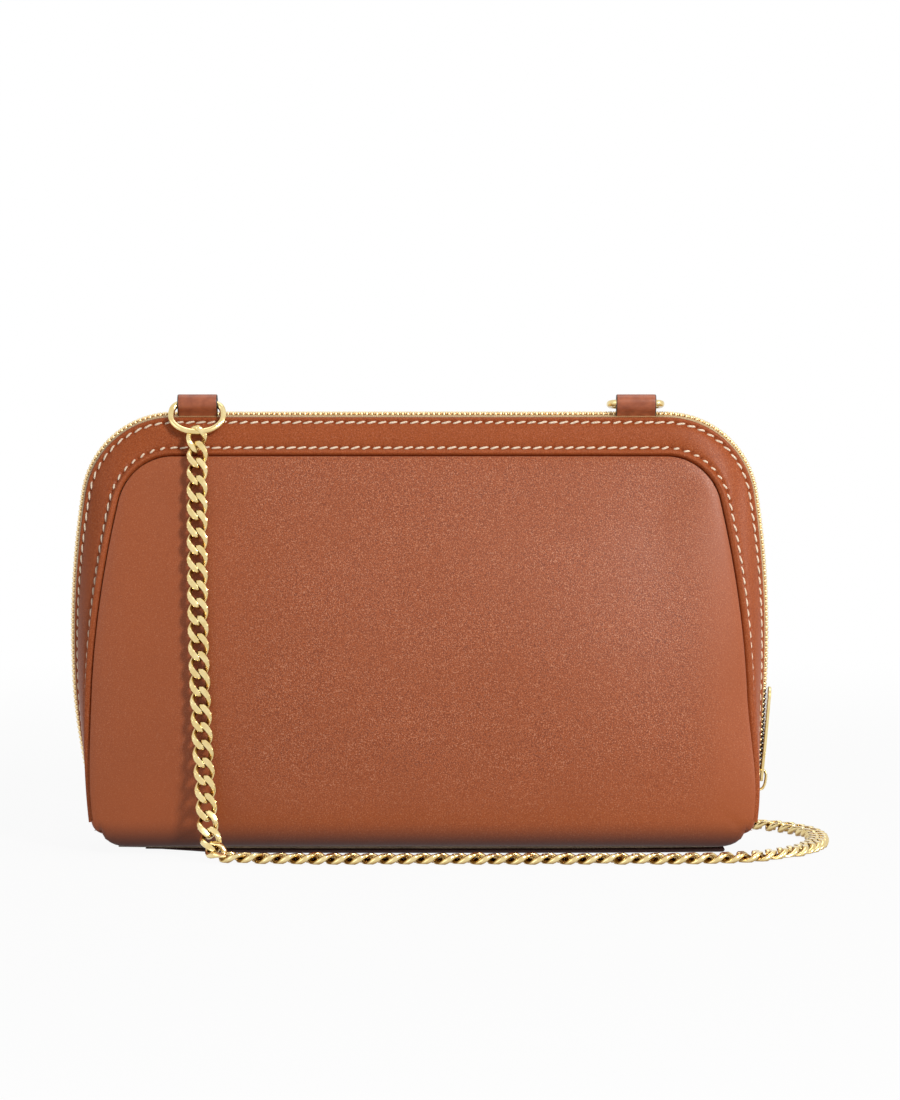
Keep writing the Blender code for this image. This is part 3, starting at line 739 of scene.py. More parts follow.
@dataclass(frozen=True)
class Form:
    """Outline of the zip and bulge of the faces, which every leather piece follows."""

    half_width: float = 0.1022
    height: float = 0.1282
    side_radius: float = 0.270
    side_centre_height: float = 0.064
    corner_radius: float = 0.0265
    half_depth: float = 0.0255
    face_power: float = 3.5
    face_middle_share: float = 0.45
    # the face's bulge: share of the height and share of the depth there
    depth_shares: tuple[Span, ...] = (
        (0.0, 0.790), (0.05, 0.890), (0.12, 0.968), (0.22, 1.0), (0.35, 0.968), (0.50, 0.872),
        (0.655, 0.712), (0.78, 0.532), (0.858, 0.400), (0.909, 0.310), (1.0, 0.185),
    )
    mouth_half: float = 0.0048
    band_width: float = 0.0117
    band_thickness: float = 0.0012
    panel_thickness: float = 0.0012
    board_thickness: float = 0.0009
    lining_thickness: float = 0.0005
    layer_gap: float = 0.0005
    lean_top: float = math.radians(12)
    lean_base: float = math.radians(95)
    lean_power: float = 0.8
    slope_step: float = 0.0003
    sag_high: float = 0.048
    sag_low: float = 0.012
    sag_shift: float = 0.0011
    sag_swell: float = 0.0013
    swell_wide: Span = (0.078, 0.094)
    swell_deep: Span = (0.002, 0.014)

    @property
    def side_centre_x(self) -> float:
        """Where the right side's arc has its middle."""
        return self.half_width - self.side_radius

    @property
    def corner(self) -> tuple[float, float, float]:
        """Middle of the top corner's arc, x and z, and the angle where it meets the side."""
        rise = self.height - self.corner_radius - self.side_centre_height
        reach = math.sqrt((self.side_radius - self.corner_radius) ** 2 - rise**2)
        return self.side_centre_x + reach, self.height - self.corner_radius, math.atan2(rise, reach)

    def side_angle(self, height: float) -> float:
        """Angle on the side arc at a height."""
        return math.asin((height - self.side_centre_height) / self.side_radius)

    def half_length(self, foot: float) -> float:
        """Length of the zip's line from a height at one side to the middle of the top."""
        return sum(self.arcs(foot)) + self.corner[0]

    def arcs(self, foot: float) -> Span:
        """Lengths of the side's arc, from a height, and of the corner's arc."""
        meet = self.corner[2]
        side = self.side_radius * (meet - self.side_angle(foot))
        return side, self.corner_radius * (math.pi / 2 - meet)

    def stations(self, distance: Array, foot: float) -> Array:
        """Places on the zip's line, from the left foot over the top to the right foot.

        Args:
            distance: Distance along the line from the left foot.
            foot: Height of both feet.

        Returns:
            Rows of x, z, inward x and inward z.
        """
        corner_x, corner_z, meet = self.corner
        half = self.half_length(foot)
        right = distance > half
        gone = np.where(right, 2 * half - distance, distance)
        start = self.side_angle(foot)
        side_length, corner_length = self.arcs(foot)
        on_side = gone < side_length
        on_top = gone > side_length + corner_length
        on_corner_angle = np.minimum(meet + (gone - side_length) / self.corner_radius, math.pi / 2)
        angle = np.where(on_side, start + gone / self.side_radius, on_corner_angle)
        radius = np.where(on_side, self.side_radius, self.corner_radius)
        x = np.where(on_side, self.side_centre_x, corner_x) + radius * np.cos(angle)
        z = np.where(on_side, self.side_centre_height, corner_z) + radius * np.sin(angle)
        x = np.where(on_top, corner_x - (gone - side_length - corner_length), x)
        z = np.where(on_top, self.height, z)
        sign = np.where(right, 1.0, -1.0)
        inward_x = np.where(on_top, 0.0, -np.cos(angle))
        inward_z = np.where(on_top, -1.0, -np.sin(angle))
        return np.stack([x * sign, z, inward_x * sign, inward_z], axis=-1)

    def path(self, count: int, foot: float) -> Array:
        """Evenly spaced stations over the whole line."""
        return self.stations(np.linspace(0.0, 2 * self.half_length(foot), count), foot)

    def lean(self, height: Array) -> Array:
        """How far the band turns from facing front, at the top, to just past sideways, at the foot."""
        share = np.maximum(1 - height / self.height, 0.0) ** self.lean_power
        return self.lean_top + (self.lean_base - self.lean_top) * share

    def band(self, station: Array, side: Side, along: Array, depth: Array) -> Array:
        """Places under the band.

        Args:
            station: Stations of the zip's line.
            side: Which half.
            along: Distance over the band's width from its zip edge.
            depth: Depth below its surface.

        Returns:
            Places, one for each combination of the three.
        """
        lean = self.lean(station[..., 1])
        inward = along * np.cos(lean) + depth * np.sin(lean)
        across = self.mouth_half + along * np.sin(lean) - depth * np.cos(lean)
        return self.mouth(station, side, inward, across)

    def turned(self, station: Array, side: Side, deep: float) -> Array:
        """Places where a layer of the face, some depth below it, turns under the band."""
        back = deep * np.tan(self.lean(station[..., 1]) / 2)
        depth = self.band_thickness + self.layer_gap + deep
        return self.band(station, side, self.band_width - back, depth)

    def mouth(self, station: Array, side: Side, inward: Array, across: Array) -> Array:
        """Places of the zip's section, inward from its line and across from its middle plane."""
        x = station[..., 0] + station[..., 2] * inward
        z = station[..., 1] + station[..., 3] * inward
        return np.stack(np.broadcast_arrays(x, side.value * across, z), axis=-1)

    def edge_half_width(self, height: Array) -> Array:
        """Half the width of the face between the bands, leaving out the round corners."""
        reach = np.sqrt(self.side_radius**2 - (height - self.side_centre_height) ** 2)
        return self.side_centre_x + reach - self.band_width * np.cos(self.lean(height))

    def edge_depth(self, height: Array) -> Array:
        """Depth of the face where it goes under the band."""
        under = self.band_thickness + self.layer_gap
        lean = self.lean(height)
        return self.mouth_half + self.band_width * np.sin(lean) - under * np.cos(lean)

    def middle_depth(self, share: Array) -> Array:
        """Depth of the face on its middle line, read as one smooth curve of its shares.

        Args:
            share: Heights as shares of the whole.

        Returns:
            Depths from the zip's plane.
        """
        table = np.array(self.depth_shares)
        keys, values = table[:, 0], table[:, 1]
        step = np.clip(np.searchsorted(keys, share) - 1, 0, len(keys) - 2)
        before = np.maximum(step - 1, 0)
        after = np.minimum(step + 2, len(keys) - 1)
        span = keys[step + 1] - keys[step]
        t = np.clip((share - keys[step]) / span, 0.0, 1.0)
        low = (values[step + 1] - values[before]) / (keys[step + 1] - keys[before]) * span
        high = (values[after] - values[step]) / (keys[after] - keys[step]) * span
        cube, square = t**3, t**2
        return self.half_depth * (
            values[step] * (2 * cube - 3 * square + 1)
            + low * (cube - 2 * square + t)
            + values[step + 1] * (3 * square - 2 * cube)
            + high * (cube - square)
        )

    def depth(self, x: Array, height: Array) -> Array:
        """Depth of the outer face from the zip's plane."""
        low = np.maximum(height, 0.0)
        share = np.minimum(np.abs(x) / self.edge_half_width(low), 1.0) ** self.face_power
        return self.middle_depth(low / self.height) * (1 - share) + self.edge_depth(low) * share

    def face(self, x: Array, height: Array, side: Side, deep: Array) -> Array:
        """Places of the face, sunk by some depth square to its surface.

        Args:
            x: Places across the face.
            height: Heights.
            side: Which half.
            deep: Depths below the surface.

        Returns:
            Places in the frame.
        """
        step = self.slope_step
        slope_x = (self.depth(x + step, height) - self.depth(x - step, height)) / (2 * step)
        slope_z = (self.depth(x, height + step) - self.depth(x, height - step)) / (2 * step)
        inward = unit(np.stack([slope_x, np.ones_like(slope_x), slope_z], axis=-1))
        flat = np.stack(np.broadcast_arrays(x, -self.depth(x, height), height), axis=-1)
        place = flat + inward * np.asarray(deep)[..., None]
        place[..., 1] *= -side.value
        return place

    def settled(self, points: Array) -> Array:
        """Places as the soft bag really stands: leaning and swollen a little, low down."""
        x, y, z = points.T
        low = smoothstep(self.sag_high, self.sag_low, z)
        side = smoothstep(*self.swell_wide, np.abs(x)) * smoothstep(*self.swell_deep, np.abs(y))
        moved = x + low * (self.sag_shift + np.sign(x) * self.sag_swell * side)
        return np.stack([moved, y, z], axis=1)

    def inset(self, x: Array, height: Array) -> Array:
        """Distance of a place inside the zip's line.

        Args:
            x: Places across the face.
            height: Heights.

        Returns:
            Distances, below 0 outside it.
        """
        corner_x, corner_z, meet = self.corner
        wide = np.abs(x)
        above = height - self.side_centre_height
        from_side = self.side_radius - np.hypot(wide - self.side_centre_x, above)
        from_corner = self.corner_radius - np.hypot(wide - corner_x, height - corner_z)
        angle = np.arctan2(height - corner_z, wide - corner_x)
        in_corner = (wide > corner_x) & (angle > meet)
        return np.where(in_corner, from_corner, np.minimum(from_side, self.height - height))


FORM = Form()


class Finishes:
    """The finishes that several sub-assemblies share."""

    def __init__(self) -> None:
        """Makes each of them once."""
        # the face carries painted shade towards the floor
        self.face = LeatherFinish("tan leather face", calm_edges=True, foot_shade=0.92).make()
        self.band = LeatherFinish(
            "tan leather band", lit=(0.325, 0.074, 0.018), deep=(0.230, 0.046, 0.011),
            grain_deep=0.020 * MM, glint_share=0.18, sheen=0.16,
        ).make()
        # painted shadow: the base is painted nearly black all over, as it lies in shade under the bag
        self.base = LeatherFinish(
            "tan leather base", grain_deep=0.03 * MM, roughness=0.6, foot_shade=0.97
        ).make()
        self.thread = ThreadFinish().make()
        self.gold = GoldFinish("polished gold").make()
        # the zip's teeth take only a little painted shade in their recesses
        self.tooth_gold = GoldFinish(
            "zip gold", bright=(0.88, 0.72, 0.44), warm=(0.74, 0.56, 0.30), recess_shade=(0.70, 0.50, 0.26),
            roughness=0.34,
        ).make()
        self.tape = WeaveFinish(
            "woven zip tape", light=(0.74, 0.55, 0.30), dark=(0.40, 0.24, 0.10), pitch=0.55 * MM,
            deep=0.09 * MM, roughness=0.6, metal_share=0.35,
        ).make()
        self.lining = WeaveFinish(
            "lining cloth", light=(0.46, 0.29, 0.18), dark=(0.30, 0.17, 0.10), pitch=0.55 * MM,
            deep=0.06 * MM,
        ).make()
        self.board = BoardFinish().make()


@dataclass(frozen=True)
class LinkShape:
    """One curb link: a flat oval, twisted about its length and ground flat on both faces."""

    half_long: float = 0.0035
    half_wide: float = 0.00244
    wire: float = 0.00178
    twist_start: float = math.radians(-62)
    twist_end: float = math.radians(62)
    ground: float = 0.00136
    ground_left_share: float = 0.05
    around: int = 30
    sides: int = 16

    def rows(self) -> Array:
        """Rows of points round the link's own middle, as (along, across, out).

        Returns:
            Rows of places, one row for each step round the link.
        """
        turn = circle(self.around)
        share = (1 + np.cos(turn)) / 2
        twist = self.twist_start + (self.twist_end - self.twist_start) * share
        flat = self.half_wide * np.sin(turn)
        long = self.half_long * np.cos(turn)
        line = np.stack([long, flat * np.cos(twist), -flat * np.sin(twist)], axis=1)
        ahead = unit(np.roll(line, -1, axis=0) - np.roll(line, 1, axis=0))
        side = unit(np.cross(ahead, np.cross(line, ahead)))
        up = np.cross(side, ahead)
        rows = sweep(line, side, up, round_section(self.sides, self.wire / 2, self.wire / 2))
        over = np.abs(rows[:, :, 2]) - self.ground
        pressed = self.ground + np.maximum(over, 0.0) * self.ground_left_share
        rows[:, :, 2] = np.where(over > 0, np.sign(rows[:, :, 2]) * pressed, rows[:, :, 2])
        return rows


@dataclass
class Chain:
    """The curb chain: twisted links with ground faces, along the route from ring to ring."""

    shape: LinkShape = field(default_factory=LinkShape)
    width: float = 0.0062
    pitch: float = 0.0052
    reach_out: float = 0.0016
    loose_roll: float = 0.035
    loose_tilt: float = 0.02
    samples: int = 24
    tube_height: float = 0.0031
    rest_height: float = 0.0014
    split_height: float = 0.043
    lean_in: float = 0.0010
    lean_low: Span = (0.02, 0.05)
    lean_high: Span = (0.112, 0.09)
    seed: int = 11
    # the route from the left ring to the right one, its points listed one by one
    front: tuple[Place, ...] = (
        (-0.0653, -0.0119, 0.1156), (-0.0652, -0.0148, 0.1055), (-0.0650, -0.0194, 0.0880),
        (-0.0645, -0.0236, 0.0660), (-0.0637, -0.0262, 0.0450), (-0.0627, -0.0278, 0.0270),
        (-0.0619, -0.0296, 0.0150), (-0.0614, -0.0311, 0.0095),
    )
    floor: tuple[Place | Span, ...] = (
        (-0.0604, -0.0331, 0.0058), (-0.0583, -0.0358, 0.0036), (-0.0530, -0.0380), (-0.0400, -0.0395),
        (-0.0150, -0.0400), (0.0200, -0.0400), (0.0550, -0.0400), (0.0800, -0.0390), (0.0965, -0.0345),
        (0.1090, -0.0235), (0.1168, -0.0080), (0.1193, 0.0080), (0.1175, 0.0230), (0.1110, 0.0355),
        (0.1000, 0.0450), (0.0860, 0.0520), (0.0680, 0.0570), (0.0350, 0.0597), (-0.0100, 0.0600),
        (-0.0400, 0.0600),
    )
    back: tuple[Span, ...] = (
        (-0.0600, 0.0600), (-0.0760, 0.0594), (-0.0865, 0.0545), (-0.0905, 0.0462), (-0.0865, 0.0380),
        (-0.0760, 0.0336), (-0.0600, 0.0330), (-0.0350, 0.0330), (-0.0050, 0.0330), (0.0250, 0.0330),
        (0.0450, 0.0330),
    )
    rise: tuple[Place, ...] = (
        (0.0560, 0.0328, 0.0034), (0.0615, 0.0318, 0.0056), (0.0638, 0.0306, 0.0105),
        (0.0643, 0.0296, 0.0200), (0.0645, 0.0286, 0.0400), (0.0647, 0.0264, 0.0600),
        (0.0649, 0.0228, 0.0800), (0.0650, 0.0186, 0.0980), (0.0650, 0.0156, 0.1110),
        (0.0650, 0.0130, 0.1210), (0.0650, 0.0118, 0.1290),
    )
    upper_blend: tuple[Place, Place] = ((-0.065, -0.02, 0.060), (-0.065, -0.012, 0.117))
    lower_blend: tuple[Place, Place] = ((-0.062, -0.03, 0.004), (-0.063, -0.028, 0.030))
    # ways that the chain's flat side faces: down the front, turning onto the floor, and so on
    faces_front: Triple = (0.0, -1.0, 0.12)
    faces_turning: tuple[Triple, ...] = ((0.12, -0.85, 0.5), (0.15, -0.62, 0.78), (0.0, -0.28, 0.95))
    faces_up: Triple = (0.0, 0.0, 1.0)
    faces_rising: tuple[Triple, ...] = ((0.0, 0.4, 0.9), (0.0, 0.8, 0.6))
    faces_back: Triple = (0.0, 1.0, 0.1)

    def __post_init__(self) -> None:
        """Works out the fine line of the whole chain, with the way its flat side faces."""
        parts = (self.front, self.floor, self.back, self.rise)
        # a point given without a height is on the floor
        route = np.array([(*point, self.tube_height)[:3] for part in parts for point in part])
        facing = np.array([
            *[self.faces_front] * (len(self.front) - 1),
            *self.faces_turning,
            *[self.faces_up] * (len(self.floor) - 2 + len(self.back)),
            *self.faces_rising,
            *[self.faces_back] * (len(self.rise) - 2),
        ])
        self.line = self._curve(route)
        self.facing = unit(self._curve(facing))
        # the links lie flatter than the chain is wide, so on the floor their line is lower
        drop = self.tube_height - self.rest_height
        drop = drop * smoothstep(2 * self.tube_height, self.tube_height * 1.1, self.line[:, 2])
        self.line[:, 2] -= drop
        height = self.line[:, 2]
        hanging = smoothstep(*self.lean_low, height) * smoothstep(*self.lean_high, height)
        self.line[:, 1] -= np.sign(self.line[:, 1]) * self.lean_in * hanging
        self.gone = lengths_along(self.line)
        ends = np.cumsum([len(part) for part in parts]) - 1
        self.ends = [self.gone[end * self.samples] for end in ends]

    def _curve(self, route: Array) -> Array:
        """Fine points of the smooth curve through a route's points.

        Args:
            route: The route's points, one row each.

        Returns:
            Rows of places.
        """
        ends = np.vstack([2 * route[0] - route[1], route, 2 * route[-1] - route[-2]])
        t = (np.arange(self.samples) / self.samples)[:, None]
        pieces = []
        for i in range(len(route) - 1):
            before, low, high, after = ends[i : i + 4]
            square = 2 * before - 5 * low + 4 * high - after
            cube = 3 * low - before - 3 * high + after
            pieces.append(0.5 * (2 * low + (high - before) * t + square * t**2 + cube * t**3))
        return np.vstack([*pieces, route[-1:]])

    def at(self, distance: float) -> tuple[Array, Array, Array]:
        """Place, direction and facing of the chain at a distance, straight on past its ends.

        Args:
            distance: Distance along the chain from its start.

        Returns:
            The three, as vectors.
        """
        inside = min(max(distance, 0.0), float(self.gone[-1]))
        reach = self.shape.half_long
        ahead = read_path(self.line, self.gone, min(inside + reach, self.gone[-1]))
        behind = read_path(self.line, self.gone, max(inside - reach, 0.0))
        along = unit(ahead - behind)
        place = read_path(self.line, self.gone, inside) + along * (distance - inside)
        return place, along, read_path(self.facing, self.gone, inside)

    def stretch(self, name: str, start: float, end: float, material: Material) -> Piece:
        """Links whose middles lie between two distances.

        Args:
            name: The piece's name.
            start: Distance where the stretch starts.
            end: Distance where it ends.
            material: Its finish.

        Returns:
            The piece.
        """
        plan = Plan()
        rows = self.shape.rows()
        rng = np.random.default_rng(self.seed)
        whole = float(self.gone[-1]) + self.reach_out
        count = round(whole / self.pitch)
        for k in range(count + 1):
            here = k * whole / count - self.reach_out
            roll = rng.normal(0.0, self.loose_roll)
            tilt = rng.normal(0.0, self.loose_tilt)
            if not start <= here < end:
                continue
            place, along, facing = self.at(here)
            facing = unit(facing - along * float(facing @ along))
            facing = facing * math.cos(roll) + np.cross(facing, along) * math.sin(roll)
            along = unit(along + np.cross(facing, along) * tilt)
            axes = np.stack([along, np.cross(facing, along), facing])
            points = place + rows @ axes
            # a link lies on the floor, never in it
            points[..., 2] += max(0.0, -float(points[..., 2].min()))
            plan.grid(points, wrap=True, loop=True)
        return plan.build(name, material, Slot.GOLD, sharp=27)

    def declare(self, start: float, end: float, node: str) -> None:
        """Hides the frame's node that a stretch of the chain takes the place of.

        Args:
            start: Distance where the stretch starts.
            end: Distance where it ends.
            node: The frame's node that it replaces.
        """
        inside = (self.gone >= start - self.pitch / 2) & (self.gone <= end + self.pitch / 2)
        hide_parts(node)

    def build(self, finishes: Finishes) -> list[Piece]:
        """Makes every stretch of the chain and gives each its body.

        Args:
            finishes: The shared finishes.

        Returns:
            The pieces.
        """
        front_end, floor_end, back_end, rise_end = self.ends
        falling = len(self.front) * self.samples
        split = float(np.interp(-self.split_height, -self.line[:falling, 2], self.gone[:falling]))
        upper = self.stretch("chain_front_upper", -self.pitch, split, finishes.gold)
        start, end = self.upper_blend
        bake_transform(upper, "near_half", "left_ring", start=start, end=end)
        self.declare(0.0, split, "chain_front")
        lower = self.stretch("chain_front_lower", split, front_end, finishes.gold)
        start, end = self.lower_blend
        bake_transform(lower, "far_half", "near_half", start=start, end=end)
        self.declare(split, front_end, "chain_front")
        made = [upper, lower]
        for name, start, end, lay, node in (
            ("chain_along_floor", front_end, floor_end, "loose", "chain_floor"),
            ("chain_behind", floor_end, back_end, "loose", "chain_back"),
            ("chain_up_the_back", back_end, rise_end + self.pitch, "hanging", "chain_rise"),
        ):
            piece = self.stretch(name, start, end, finishes.gold)
            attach(piece, "far_half")
            self.declare(start, min(end, rise_end), node)
            made.append(piece)
        return made


@dataclass(frozen=True)
class Layer:
    """One layer of a half: how deep it lies, how thick it is and where it ends."""

    deep: float
    thick: float
    foot: float
    margin: float
    boxed: bool = False


@dataclass
class Half:
    """One half of the clutch: its face, band, stitching, lining and layers beneath."""

    side: Side
    finishes: Finishes
    path_count: int = 230
    low_count: int = 90
    rim_shares: tuple[float, ...] = (
        1.0, 0.9975, 0.995, 0.992, 0.988, 0.983, 0.977, 0.970, 0.961, 0.950, 0.937, 0.922, 0.905,
        0.885, 0.86, 0.83, 0.79, 0.74, 0.68, 0.61, 0.53, 0.44, 0.34, 0.23, 0.12, 0.04,
    )
    hidden_shares: Triple = (1.0, 0.5, 0.06)
    rim_lift: float = 0.0004
    corner_foot: float = 0.0094
    base_foot: float = 0.0016
    curl: float = 0.0052
    curl_deep: float = 0.0021
    side_bulge: float = 0.0011
    bulge_reach: float = 0.0034
    bulge_end: float = 0.0140
    bulge_heights: Span = (0.045, 0.012)
    bulge_lip: float = 0.0015
    notch_x: float = 0.0926
    notch_height: float = 0.0054
    notch_width: float = 0.0007
    notch_deep: float = 0.0009
    notch_end: float = 0.005
    lobe_wide: float = 0.0060
    crease_reach: Span = (-0.0090, 0.0110)
    crease_start: float = -0.002
    crease_deep: float = 0.00030
    crease_wide: float = 0.0012
    puff: float = 0.0010
    puff_reach: float = 0.0042
    puff_end: float = 0.026
    puff_heights: Span = (0.003, 0.020)
    puff_low_share: float = 0.35
    # slight waves of the leather, in radians to the metre across and up
    wave_deep: float = 0.00007
    wave_end: float = 0.02
    wave_broad: Triple = (61, 83, 29)
    wave_fine: Span = (137, 71)
    wave_fine_share: float = 0.6
    wave_start: float = 0.8
    margin: float = 0.0028
    tuck: float = 0.0014
    lining_foot: float = 0.0063
    lining_margin: float = 0.0055
    lining_clear: float = 0.0003
    rows: Span = (0.0017, 0.0093)
    grooves: Span = (0.00030, 0.00034)
    groove_wide: float = 0.00055
    pad: float = 0.00042
    pad_power: float = 0.8
    # ridges along the band: height, place over its width, and width
    lip: Triple = (0.00055, 0.01080, 0.0008)
    piping: Triple = (0.00030, 0.0007, 0.00055)
    # rounded rims of the band: drop and width
    zip_rim: Span = (0.0006, 0.0006)
    face_rim: Span = (0.0010, 0.0009)
    band_foot: float = 0.0092
    band_steps: int = 1300
    first_columns: tuple[float, ...] = (0.0, 0.00004, 0.00018, 0.00040, 0.00070, 0.0010, 0.0013)
    column_spans: tuple[tuple[float, float, int], ...] = (
        (0.0015, 0.0019, 3), (0.0022, 0.0088, 12), (0.0091, 0.0099, 5), (0.0102, 0.0113, 6),
    )
    last_columns: tuple[float, ...] = (0.01150, 0.01160, 0.01167, 0.0117)
    under_rim: float = 0.0002
    hole_deep: float = 0.00045
    hole_wide: float = 0.00045
    hole_power: int = 10
    stitch_pitch: float = 0.00314
    stitch_long: float = 0.00286
    stitch_wide: float = 0.00062
    stitch_flat: float = 0.8
    stitch_slant: float = 0.25
    stitch_spread: Span = (0.90, 1.08)
    slant_spread: float = 0.05
    stitch_proud: float = 0.00022
    stitch_dip: float = 0.00045
    stitch_end: float = 0.03
    stitch_steps: int = 9
    stitch_sides: int = 8
    stitch_seed: int = 100
    row_count: int = 1600
    tape_foot: float = 0.0096
    tape_count: int = 420
    tape_mouth: tuple[Span, ...] = (
        (0.00030, 0.0008), (-0.00025, 0.0011), (-0.00050, 0.0017), (-0.00045, 0.0026),
        (-0.00020, 0.0038), (0.00010, 0.0047),
    )
    tape_thick: float = 0.0006
    tape_hidden: tuple[float, ...] = (0.0005, 0.003, 0.0055, 0.0082)
    board_foot: float = 0.0102
    board_count: int = 300
    board_start: float = 0.0009

    def lower_edge(self, x: Array) -> Array:
        """Height of the face's lower edge: near the floor, round up to a notch, then a side lobe.

        Args:
            x: Places across the face.

        Returns:
            Heights above the floor.
        """
        wide = np.abs(x)
        reach = float(FORM.edge_half_width(np.array(self.corner_foot)))
        corner = rolled((self.notch_x - wide) / self.lobe_wide)
        corner = self.base_foot + (self.notch_height - self.base_foot) * corner
        lobe = rolled((reach - wide) / (reach - self.notch_x))
        lobe = self.notch_height + (self.corner_foot - self.notch_height) * lobe
        return np.where(wide < self.notch_x, corner, lobe)

    def gap(self, x: Array, z: Array) -> Array:
        """Distance of a place on the face from the band."""
        return np.maximum(FORM.inset(x, z) - FORM.band_width * np.cos(FORM.lean(z)), 0.0)

    def bulged(self, x: Array, z: Array) -> Array:
        """How far the leather swells sideways past its seam, low down at either side.

        Args:
            x: Places across the face.
            z: Heights.

        Returns:
            Distances to the right.
        """
        gap = self.gap(x, z)
        rise = np.sin(np.pi / 2 * np.minimum(gap / self.bulge_reach, 1.0))
        fall = 1 - smoothstep(self.bulge_reach, self.bulge_end, gap)
        low = smoothstep(*self.bulge_heights, z)
        low = low * smoothstep(0.0, self.bulge_lip, z - self.lower_edge(x))
        return np.sign(x) * self.side_bulge * rise * fall * low

    def creased(self, x: Array, z: Array) -> Array:
        """Depth of the soft crease that runs up and inwards from the notch at each corner.

        Args:
            x: Places across the face.
            z: Heights.

        Returns:
            Depths below the plain face.
        """
        wide = np.abs(x) - self.notch_x
        high = z - self.notch_height
        reach_x, reach_z = self.crease_reach
        length = math.hypot(reach_x, reach_z)
        along = (wide * reach_x + high * reach_z) / length
        off = (wide * reach_z - high * reach_x) / length
        fade = (1 - smoothstep(0.0, length, along)) * (along > self.crease_start)
        return self.crease_deep * fade * ridge(off, 0.0, self.crease_wide)

    def puffed(self, x: Array, z: Array) -> Array:
        """How far the leather stands proud of the plain face at a place.

        Args:
            x: Places across the face.
            z: Heights.

        Returns:
            Heights above the plain face.
        """
        gap = self.gap(x, z)
        ease = 1 - smoothstep(self.puff_reach, self.puff_end, gap)
        low = smoothstep(*self.puff_heights, z)
        share = self.puff_low_share + (1 - self.puff_low_share) * low
        swell = self.puff * (1 - rolled(gap / self.puff_reach)) * ease * share
        wave_x, wave_z, skew = self.wave_broad
        fine_x, fine_z = self.wave_fine
        wave = np.sin(x * wave_x + self.wave_start) * np.sin(z * wave_z + x * skew)
        wave = wave + self.wave_fine_share * np.sin(x * fine_x + z * fine_z)
        wave = self.wave_deep * wave * smoothstep(0.0, self.wave_end, gap) * low
        above = z - self.lower_edge(x)
        notch = self.notch_deep * ridge(np.abs(x), self.notch_x, self.notch_width)
        notch = notch * (1 - smoothstep(0.0, self.notch_end, above))
        under = self.curl_deep * rolled(above / self.curl)
        return swell + wave - notch - under - self.creased(x, z)

    def skin(self, plan: Plan, layer: Layer, deep: float) -> range:
        """Adds one surface of a layer to a plan.

        Args:
            plan: The piece's plan.
            layer: The layer. A boxed one has the boxed corners and the leather's puff.
            deep: The surface's depth below the face.

        Returns:
            The numbers of its outermost points, which go round it.
        """
        path = FORM.path(self.path_count, layer.foot)
        top = FORM.band_thickness + FORM.layer_gap + deep
        reach = float(FORM.edge_half_width(np.array(layer.foot)))
        x = reach * np.cos(np.pi * np.arange(1, self.low_count) / self.low_count)
        low, under, lift = np.full_like(x, layer.foot), 0.0, 0.0
        if layer.boxed:
            low, under, lift = self.lower_edge(x), self.curl_deep, self.rim_lift
        back = FORM.band_width - deep * np.tan(FORM.lean(path[:, 1]) / 2)
        rows = []
        for share in self.hidden_shares:
            hidden = FORM.band(path, self.side, back - layer.margin * share, top)
            tuck = FORM.face(x, low, self.side, deep + under)
            tuck[:, 1] -= self.side.value * self.tuck * share
            rows.append(np.vstack([hidden, tuck]))
        edge = FORM.turned(path, self.side, deep)
        rim = np.vstack([edge[:, [0, 2]], np.stack([x, low + lift], axis=1)])
        middle = FORM.face_middle_share * FORM.height
        for share in self.rim_shares:
            wide = rim[:, 0] * share
            high = middle + (rim[:, 1] - middle) * share
            out = self.puffed(wide, high) if layer.boxed else np.zeros_like(wide)
            ring = FORM.face(wide, high, self.side, deep - out)
            if layer.boxed:
                ring[:, 0] += self.bulged(wide, high)
            rows.append(ring)
        start = plan.grid(np.stack(rows), wrap=True)
        around = len(rim)
        centre = FORM.face(np.array([0.0]), np.array([middle]), self.side, np.array([deep]))
        plan.add(centre, [(k - around, (k + 1) % around - around, 0) for k in range(around)])
        return range(start, start + around)

    def shell(self, name: str, layer: Layer, material: Material, slot: Slot) -> Piece:
        """One curved layer of the half, closed all round.

        Args:
            name: The piece's name.
            layer: The layer.
            material: Its finish.
            slot: A material slot, handed on to Plan.build.

        Returns:
            The piece.
        """
        plan = Plan()
        outer = self.skin(plan, layer, layer.deep)
        plan.wall(outer, self.skin(plan, layer, layer.deep + layer.thick))
        return plan.build(name, material, slot, soft=True)

    def band_height(self, along: Array) -> Array:
        """How far the band's surface stands above its plain place over its width.

        Args:
            along: Distances over the width from the zip edge.

        Returns:
            Heights.
        """
        first, second = self.rows
        middle = np.clip((along - first) / (second - first), 0.0, 1.0)
        height = self.pad * np.sin(np.pi * middle) ** self.pad_power
        for high, place, wide in (self.lip, self.piping):
            height = height + high * ridge(along, place, wide)
        for deep, row in zip(self.grooves, self.rows):
            height = height - deep * ridge(along, row, self.groove_wide)
        for (deep, wide), gone in ((self.zip_rim, along), (self.face_rim, FORM.band_width - along)):
            height = height - deep * rolled(gone / wide)
        return height

    def stitch_places(self, along: float) -> tuple[Array, Array]:
        """Distances of the stitches' middles along the zip's line, and the row's own lengths.

        Args:
            along: Place of the row over the band's width.

        Returns:
            The distances, and a table of distance to stitches gone by.
        """
        fine = np.linspace(0.0, 2 * FORM.half_length(self.band_foot), self.row_count)
        row = FORM.band(FORM.stations(fine, self.band_foot), self.side, along, 0.0)
        gone = lengths_along(row)
        count = int(gone[-1] / self.stitch_pitch)
        middles = (np.arange(count) + 0.5) * gone[-1] / count
        return np.interp(middles, gone, fine), np.stack([fine, gone * count / gone[-1]])

